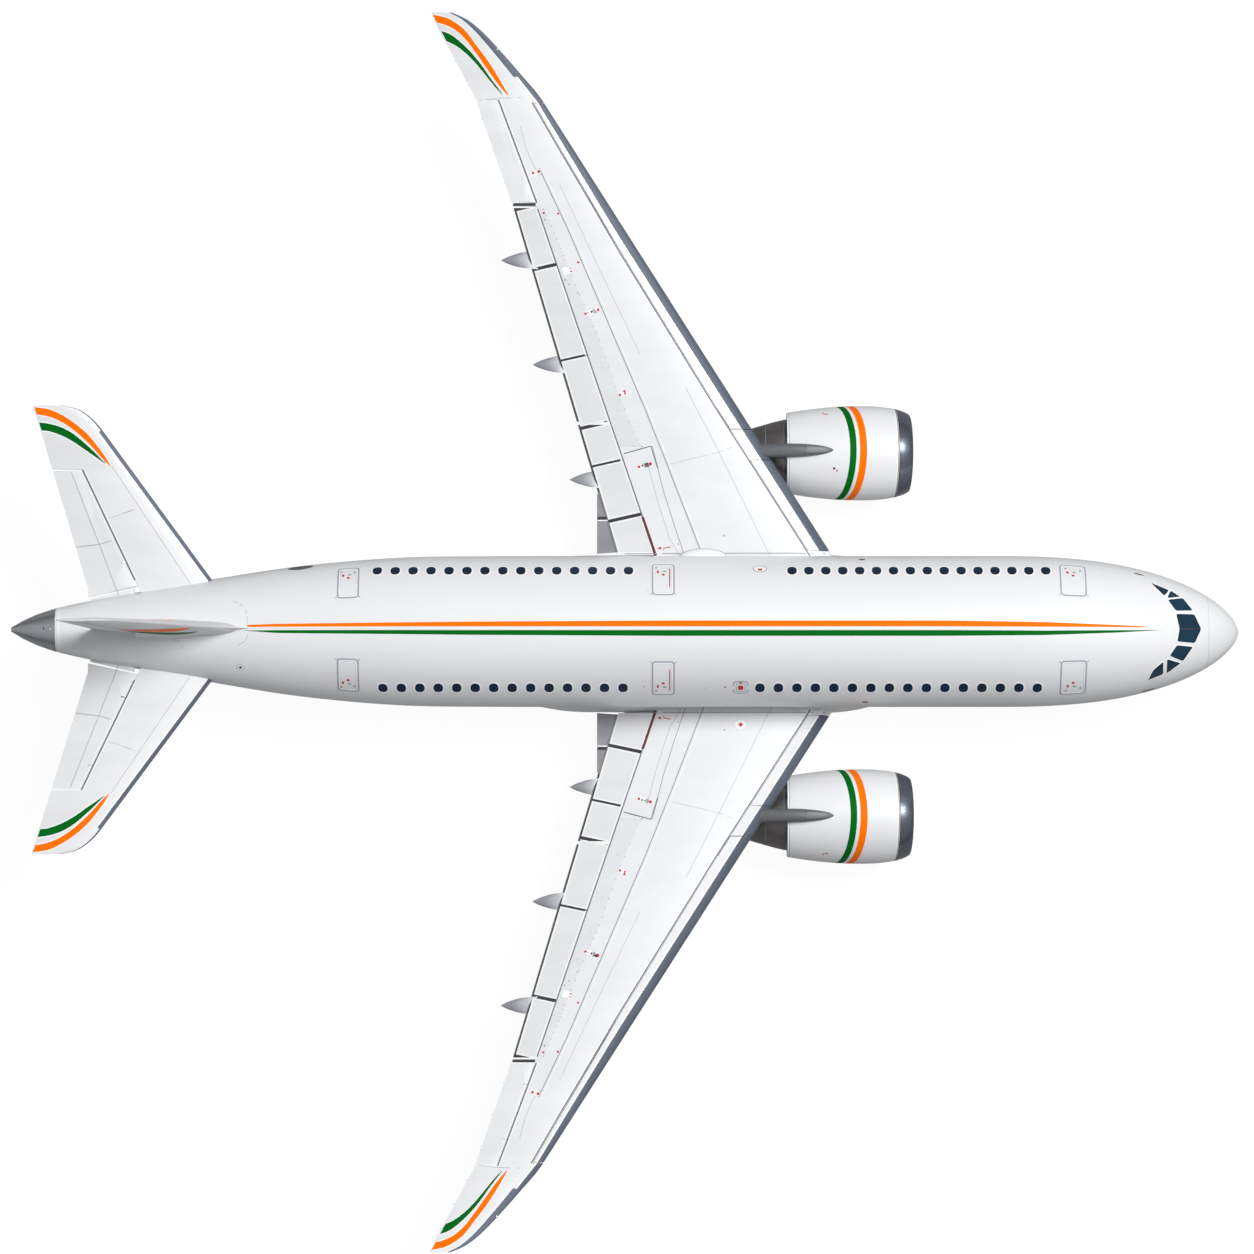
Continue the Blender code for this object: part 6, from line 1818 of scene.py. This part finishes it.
def build_engine_marks():
    for side, word in SIDES:
        shell = Shell()
        for x, width, paint in COWL_RINGS:
            shell.strip([(x, a) for a in around(64)], cowl_point, width, paint, lift=0.003, closed=True)
        for angle in (math.pi - 0.02, 1.95, -1.95):
            shell.strip([(x, angle) for x in spread(6.3, 10.1, 14)], cowl_point, 0.014, "fine_line",
                        lift=0.003)
        for x, angle, length, width in ((7.64, 0.95, 0.17, 0.06), (8.05, -0.45, 0.05, 0.10)):
            if angle < 0.0 and side < 0:
                continue
            shell.patch([(x + u, angle + v / 1.75) for u, v in oval(length, width, 10)], cowl_point,
                        "red_mark", lift=0.005)
            tail = [(x - 0.11 + u, angle + 0.05 + v / 1.75) for u, v in oval(width, width, 8)]
            shell.patch(tail, cowl_point, "dark_red", lift=0.008)
        shell.build(f"nacelle_marks_{word}", "airframe", "hull_white", side=side)

    shell = Shell()
    for x in (6.85, 5.9):
        half, top = (smooth_table(column(PYLON, n), x) for n in (1, 2))
        path = [(x, ENGINE_Y + half * 0.92 * share, top + 0.003 - 0.05 * share ** 4)
                for share in spread(-1, 1, 9)]
        shell.tube(path, 0.009, "seam", sides=6)
    build_both(shell, "pylon_joints_{}", "airframe", "leading_edge_metal")


# Small fittings
def dome(shell, foot, normal, radius, height, paint):
    """A lamp or cover: a low dome on a surface."""
    normal = Vector(normal).normalized()
    across = normal.cross(Vector((0, 1, 0)) if abs(normal.y) < 0.9 else Vector((1, 0, 0))).normalized()
    other = normal.cross(across)
    rows = []
    for share, rise in ((1.0, -0.4), (1.0, 0.1), (0.9, 0.5), (0.65, 0.82), (0.3, 0.97), (0.05, 1.0)):
        ring = [(across * math.cos(a) + other * math.sin(a)) * radius * share for a in around(16)]
        rows.append([Vector(foot) + out + normal * height * rise for out in ring])
    shell.rows(rows, paint, caps=True)


def belly_under(x, starboard):
    """A point of the belly fairing's lower side; counted towards starboard, its normals point down."""
    half, centre, tall = fairing_section(x)
    across = min(abs(starboard) / half, 0.999)
    sine_squared = across ** (2 / FAIRING_POWERS[0])
    return Vector((x, -starboard, centre - tall * math.sqrt(1 - sine_squared) ** FAIRING_POWERS[1]))


CARGO_DOORS = (  # middle, width, height, degrees from the crown
    (10.9, 2.6, 1.7, -116), (-9.0, 2.6, 1.7, -116), (-13.0, 1.1, 1.0, 114),
)
BAY_DOOR_AT, BAY_DOOR_SIZE = (1.10, 0.97), (3.8, 1.80)  # beside the main legs
JACK_PAD, JACK_PAD_DEPTH = 0.24, 0.05
NOSE_JACK_X, WING_JACK = 14.0, (1.6, 8.9)  # as in the CAD and its mounts


def build_belly_marks():
    """Cargo door seams, the main gear bays' seams and the jacking pads."""
    shell = Shell()
    for x, width, height, degrees in CARGO_DOORS:
        outline = dense(block(width, height, DOOR_CORNER), 0.15)
        hull_line(shell, x, math.radians(degrees), outline, 0.035, "door_seam", closed=True)
    for side in (1, -1):
        door = block(*BAY_DOOR_SIZE, 0.15, (BAY_DOOR_AT[0], side * BAY_DOOR_AT[1]))
        shell.strip(dense(door, 0.15), belly_under, 0.035, "door_seam", lift=0.012, closed=True)
    x, y = WING_JACK
    wing_foot = wing_mid(y) - WING.half(x, y) - JACK_PAD_DEPTH
    for at, foot in (((NOSE_JACK_X, 0.0), -RADIUS - JACK_PAD_DEPTH), ((x, y), wing_foot),
                     ((x, -y), wing_foot)):
        outline = block(JACK_PAD, JACK_PAD, at=at)
        shell.rows([[(a, b, z) for a, b in outline] for z in (foot, foot + 0.2)], "steel", caps=True)
    shell.build("belly_marks", "airframe", "hull_white")


def add_wick(shell, y):
    """A discharge wick on the wing's rear edge."""
    tail = WING.at(WING.te(y), y, 0)
    path = [tail + Vector((0.05, 0, 0)), tail + Vector((-0.05, 0, -0.004))]
    shell.tube(path, [0.010, 0.005], "rubber_seal", sides=6)


ANTENNAS = (  # station, distance to port, length, height
    (12.6, 0.0, 0.42, 0.30), (11.6, 0.5, 0.30, 0.20), (-7.4, 0.0, 0.42, 0.30), (-9.6, -0.4, 0.30, 0.22),
)
ANTENNA_THICKNESS = 0.06
ANTENNA_SHAPE = (  # share of height, of length, and of length that it is swept back
    (-0.25, 1.0, 0.0), (0.0, 1.0, 0.0), (0.6, 0.74, 0.22), (0.93, 0.5, 0.40), (1.0, 0.36, 0.46),
)


def add_antenna(shell, foot, length, height):
    """A small swept blade antenna that hangs down."""
    x, y, z = foot
    rings = []
    for share, chord, back in ANTENNA_SHAPE:
        ring = []
        for a in around(12):
            along = chord * length / 2 * math.cos(a)
            across = ANTENNA_THICKNESS / 2 * chord * math.sin(a)
            ring.append((x - back * length + along, y + across, z - height * share))
        rings.append(ring)
    shell.rows(rings, "white_trim", caps=True)


def build_fittings():
    """Navigation lamps, discharge wicks, and antennas and masts under the hull."""
    for side, word in SIDES:
        shell = Shell()
        for y, paint in ((21.9, "red_lamp" if side > 0 else "green_lamp"), (22.25, "clear_lamp")):
            x = WING.le(y) - 0.05
            dome(shell, WING.at(x, y, 0), (1, 0.75, 0), 0.05, 0.05, paint)
        for y in (20.9, 21.8, 22.7):
            add_wick(shell, y)
        shell.build(f"wingtip_fittings_{word}", "airframe", "wing_grey", side=side)

    shell = Shell()
    for y in (17.2, 18.4, 19.6):
        add_wick(shell, y)
    build_both(shell, "aileron_wicks_{}", "aileron_{}", "wing_grey")

    shell = Shell()
    for x, y, length, height in ANTENNAS:
        add_antenna(shell, on_hull(x, math.pi - math.asin(y / RADIUS)), length, height)
    for x, y in ((-8.3, 0.35), (13.2, -0.35)):
        foot = on_hull(x, math.pi - math.asin(y / RADIUS))
        path = [foot + Vector(step) for step in ((0.05, 0, 0.05), (-0.02, 0, -0.16), (-0.12, 0, -0.20))]
        shell.tube(path, [0.045, 0.035, 0.028], "steel", sides=10)
    dome(shell, (3.6, 0.0, -3.37), (0, 0, -1), 0.10, 0.12, "red_lamp")
    dome(shell, (-21.9, 0.0, hull_centre(-21.9) + hull_radius(-21.9)), (0, 0, 1), 0.05, 0.05, "clear_lamp")
    shell.build("belly_antennas", "airframe", "hull_white")


# Landing gear details
def hose_path(start, end, sag):
    """Points of a short hose that sags between its two ends."""
    a, b = Vector(start), Vector(end)
    return [a.lerp(b, t) + Vector((0, 0, -sag * 4 * t * (1 - t))) for t in spread(0, 1, 12)]


LAMP_BOWL = ((0.0, 0.02), (0.02, 0.07), (0.09, 0.115), (0.13, 0.12),
             (0.13, 0.105))  # ahead of its back, radius
LAMP_GLASS = ((0.10, 0.01), (0.128, 0.104), (0.118, 0.104))


def build_gear_details():
    axle_z = WHEEL_RADIUS - STAND
    shell = Shell()
    leg_low, piston_low = -3.45, axle_z + 0.14
    piston = ((leg_low, 0.128), (leg_low - 0.02, 0.132), (piston_low + 0.02, 0.132), (piston_low, 0.128))
    shell.lathe_z((MAIN_X, MAIN_Y), piston, "chrome", 32)
    for z, radius in ((-2.2, 0.215), (-2.75, 0.215), (-3.42, 0.245)):
        shell.lathe_z((MAIN_X, MAIN_Y), ((z, 0.19), (z, radius), (z - 0.05, radius), (z - 0.05, 0.19)),
                      "steel", 32)
    for dy in (-0.12, 0.12):
        bend = (MAIN_X + 0.21, MAIN_Y + dy, -3.3)
        pipe = [(MAIN_X + 0.19, MAIN_Y + dy, -1.9), (MAIN_X + 0.215, MAIN_Y + dy, -2.6), bend]
        shell.tube(pipe, 0.018, "rubber_seal", sides=8)
        foot = (MAIN_X + 0.16, MAIN_Y + dy * 1.2, piston_low + 0.05)
        shell.tube(hose_path(bend, foot, 0.0), 0.016, "rubber_seal", sides=8)
    for x, z in ((MAIN_X - 0.10, -3.36), (MAIN_X - 0.52, -3.76), (MAIN_X - 0.08, -4.22)):
        shell.tube([(x, MAIN_Y - 0.11, z), (x, MAIN_Y + 0.11, z)], 0.045, "steel", sides=12)
    build_both(shell, "main_gear_fittings_{}", "airframe", "gear_paint")

    shell = Shell()
    for x in (MAIN_X - BOGIE_BASE / 2, MAIN_X + BOGIE_BASE / 2):
        for side in (-1, 1):  # brake packs inboard of each rim
            at = MAIN_Y + side * (WHEEL_TRACK / 2 - WHEEL_WIDTH / 2 - 0.015)
            inner = at - side * 0.05
            pack = [(at, 0.16), (at, 0.235), (inner, 0.235), (inner, 0.16)]
            shell.lathe(pack, (x, axle_z), "Y", "steel", sides=32, closed=True)
            for a in around(8):
                p = Vector((x + 0.2 * math.sin(a), inner, axle_z + 0.2 * math.cos(a)))
                shell.tube([p, p - Vector((0, side * 0.028, 0))], 0.022, "gear_grey", sides=10)
            foot = (x, at - side * 0.06, axle_z + 0.19)
            start = (MAIN_X + (x - MAIN_X) * 0.35, MAIN_Y + side * 0.10, axle_z + 0.12)
            shell.tube(hose_path(start, foot, 0.05), 0.012, "rubber_seal", sides=8)
    build_both(shell, "brakes_{}", "airframe", "gear_paint")

    shell = Shell()
    x = NOSE_GEAR_X
    for dy in (-0.30, 0.30):
        lamp = Vector((x + 0.14, dy * 0.8, -3.12))
        for profile, paint in ((LAMP_BOWL, "gear_grey"), (LAMP_GLASS, "clear_lamp")):
            profile = [(lamp.x + ahead, radius) for ahead, radius in profile]
            shell.lathe(profile, (lamp.y, lamp.z), "X", paint, sides=24)
        shell.tube([(x + 0.05, dy * 0.2, -3.12), (x + 0.16, dy * 0.8, -3.12)], 0.028, "gear_grey",
                   sides=10)
        pipe = [(x + 0.13, dy * 0.3, -2.0), (x + 0.165, dy * 0.3, -2.7), (x + 0.165, dy * 0.3, -3.25)]
        shell.tube(pipe, 0.014, "rubber_seal", sides=8)
    for z in (-2.3, -2.9, -3.5):
        shell.lathe_z((x, 0.0), ((z, 0.15), (z, 0.172), (z - 0.04, 0.172), (z - 0.04, 0.15)), "steel", 28)
    for y in (-0.36, 0.36):  # frames along the bay's walls
        for station in spread(BAY_X[0] + 0.2, BAY_X[1] - 0.2, 6):
            low = (station - 0.02, min(y, y * 1.30), -2.45)
            shell.box(low, (station + 0.02, max(y, y * 1.30), BAY_ROOF - 0.005), "bay_primer")
    for y, depth, radius, paint in ((0.3, 0.09, 0.022, "steel"), (-0.28, 0.07, 0.016, "rubber_seal")):
        shell.tube([(end, y, BAY_ROOF - depth) for end in (16.3, 18.15)], radius, paint, sides=8)
    shell.build("nose_gear_fittings", "airframe", "gear_paint")


# The parts that stay as the CAD has them: smoother shading, and the finish of their materials
def add_smoothing():
    """A modifier that welds a CAD mesh and shades it smooth between its edges."""
    tree = bpy.data.node_groups.new("smooth_between_edges", "GeometryNodeTree")
    tree.interface.new_socket("Geometry", in_out="INPUT", socket_type="NodeSocketGeometry")
    tree.interface.new_socket("Geometry", in_out="OUTPUT", socket_type="NodeSocketGeometry")
    start = tree.nodes.new("NodeGroupInput")
    end = tree.nodes.new("NodeGroupOutput")
    drop = tree.nodes.new("GeometryNodeRemoveAttribute")
    drop.inputs["Name"].default_value = "custom_normal"
    weld = tree.nodes.new("GeometryNodeMergeByDistance")
    weld.inputs["Distance"].default_value = 1e-5
    faces = tree.nodes.new("GeometryNodeSetShadeSmooth")
    edges = tree.nodes.new("GeometryNodeSetShadeSmooth")
    edges.domain = "EDGE"
    edges.inputs["Shade Smooth"].default_value = False
    angle = tree.nodes.new("GeometryNodeInputMeshEdgeAngle")
    compare = tree.nodes.new("FunctionNodeCompare")
    compare.inputs["B"].default_value = math.radians(32)
    wire(tree, start.outputs[0], drop.inputs["Geometry"])
    wire(tree, drop.outputs["Geometry"], weld.inputs["Geometry"])
    wire(tree, weld.outputs["Geometry"], faces.inputs["Geometry"])
    wire(tree, faces.outputs["Geometry"], edges.inputs["Geometry"])
    wire(tree, angle.outputs["Unsigned Angle"], compare.inputs["A"])
    wire(tree, compare.outputs["Result"], edges.inputs["Selection"])
    wire(tree, edges.outputs["Geometry"], end.inputs[0])
    return tree


# The slats take the leading edge's painted reflection colour
CAD_FINISH = {
    "slat": "edge_metal", "spoiler": "spoiler_paint", "aileron": "wing_paint",
    "elevator": "tail_paint", "rudder": "hull_paint", "main_gear_leg": "gear_grey", "bogie": "gear_grey",
    "nose_gear_leg": "gear_grey", "nose_gear_fork": "gear_grey", "nose_gear_door": "hull_paint",
}


def finish_cad_nodes():
    smoothing = add_smoothing()
    for name, node in NODES.items():
        paint = next((p for word, p in CAD_FINISH.items() if name.startswith(word)), None)
        if paint:
            for slot in node.material_slots:
                slot.material = MATERIALS[paint]
            modifier = node.modifiers.new("smoothing", "NODES")
            modifier.node_group = smoothing


# Floor, light and camera
def add_light(name, at, aim, size, power):
    data = bpy.data.lights.new(name, "AREA")
    data.shape = "DISK"
    data.size = size
    data.energy = power
    light = bpy.data.objects.new(name, data)
    light.location = at
    light.rotation_euler = (Vector(aim) - Vector(at)).to_track_quat("-Z", "Y").to_euler()
    bpy.context.scene.collection.objects.link(light)


FLOOR_SEEN, FLOOR_BOUNCE, FLOOR_MIRRORED = 0.93, 0.42, 0.14  # glow: for the camera, soft light, gloss
# Floor and lamp, in the model's metres and in watts
FLOOR_REACH = 400.0
LIGHT_AT, LIGHT_AIM = (52, 34, 122), (0, 0, 2)
LIGHT_SIZE, LIGHT_POWER = 62, 178000


def floor_white():
    """A pale floor that glows faintly, so that the shadows on it stay as weak as in the photograph."""
    material = surface("floor_white", (0.10, 0.10, 0.10), 0.9, tint=0.0, grain=1.0)
    shader = material.node_tree.nodes["Principled BSDF"]
    shader.inputs["Emission Color"].default_value = (1, 1, 1, 1)
    tree = material.node_tree
    rays = tree.nodes.new("ShaderNodeLightPath")
    strength = None
    for ray, share in (("Is Camera Ray", FLOOR_SEEN - FLOOR_BOUNCE),
                       ("Is Glossy Ray", FLOOR_MIRRORED - FLOOR_BOUNCE)):
        node = tree.nodes.new("ShaderNodeMath")
        node.operation = "MULTIPLY_ADD"
        node.inputs[1].default_value = share
        node.inputs[2].default_value = FLOOR_BOUNCE
        wire(tree, rays.outputs[ray], node.inputs[0])
        if strength:
            wire(tree, strength, node.inputs[2])
        strength = node.outputs[0]
    wire(tree, strength, shader.inputs["Emission Strength"])
    return material


def build_world():
    """A studio whose ceiling is paler than its walls."""
    world = bpy.data.worlds.new("studio")
    world.use_nodes = True
    tree = world.node_tree
    place = tree.nodes.new("ShaderNodeTexCoord")
    split = tree.nodes.new("ShaderNodeSeparateXYZ")
    ramp = tree.nodes.new("ShaderNodeValToRGB")
    ramp.color_ramp.elements[0].position = 0.05
    ramp.color_ramp.elements[0].color = (0.045, 0.05, 0.06, 1)
    ramp.color_ramp.elements[1].position = 0.85
    ramp.color_ramp.elements[1].color = (0.42, 0.43, 0.44, 1)
    wire(tree, place.outputs["Generated"], split.inputs["Vector"])
    wire(tree, split.outputs["Z"], ramp.inputs["Fac"])
    wire(tree, ramp.outputs["Color"], tree.nodes["Background"].inputs["Color"])
    bpy.context.scene.world = world


def build_stage():
    mesh = bpy.data.meshes.new("floor")
    corners = [(x * FLOOR_REACH, y * FLOOR_REACH, 0) for x, y in ((-1, -1), (1, -1), (1, 1), (-1, 1))]
    mesh.from_pydata(corners, [], [(0, 1, 2, 3)])
    mesh.materials.append(floor_white())
    floor = bpy.data.objects.new("floor", mesh)
    bpy.context.scene.collection.objects.link(floor)

    build_world()
    add_light("overhead", LIGHT_AT, LIGHT_AIM, LIGHT_SIZE, LIGHT_POWER)


def build_camera():
    data = bpy.data.cameras.new("camera")
    data.sensor_width = SENSOR
    view_width = PHOTO_WIDTH / PIXELS_PER_METRE
    data.lens = SENSOR * CAMERA_DISTANCE / view_width
    data.clip_end = 1000
    back = Vector((0, -math.sin(CAMERA_ROLL), math.cos(CAMERA_ROLL)))
    up = Vector((0, math.cos(CAMERA_ROLL), math.sin(CAMERA_ROLL)))
    aim = to_model(up * ((AXIS_PY - PHOTO_WIDTH / 2) / PIXELS_PER_METRE))
    camera = bpy.data.objects.new("camera", data)
    camera.location = aim + back * CAMERA_DISTANCE * SCALE
    camera.rotation_euler = Matrix((Vector((1, 0, 0)), up, back)).transposed().to_euler()
    bpy.context.scene.collection.objects.link(camera)
    bpy.context.scene.camera = camera
    bpy.context.scene.view_settings.view_transform = "Standard"


build_stage()
build_camera()
build_hull()
build_belly()
build_wings()
build_tail()
build_engines()
build_fans()
build_wheels()
build_windshield()
build_windows()
build_doors()
build_hull_details()
build_blister()
build_flaps()
build_wing_marks()
build_spoiler_trim()
build_tail_marks()
build_fin_marks()
build_engine_marks()
build_belly_marks()
build_fittings()
build_gear_details()
finish_cad_nodes()
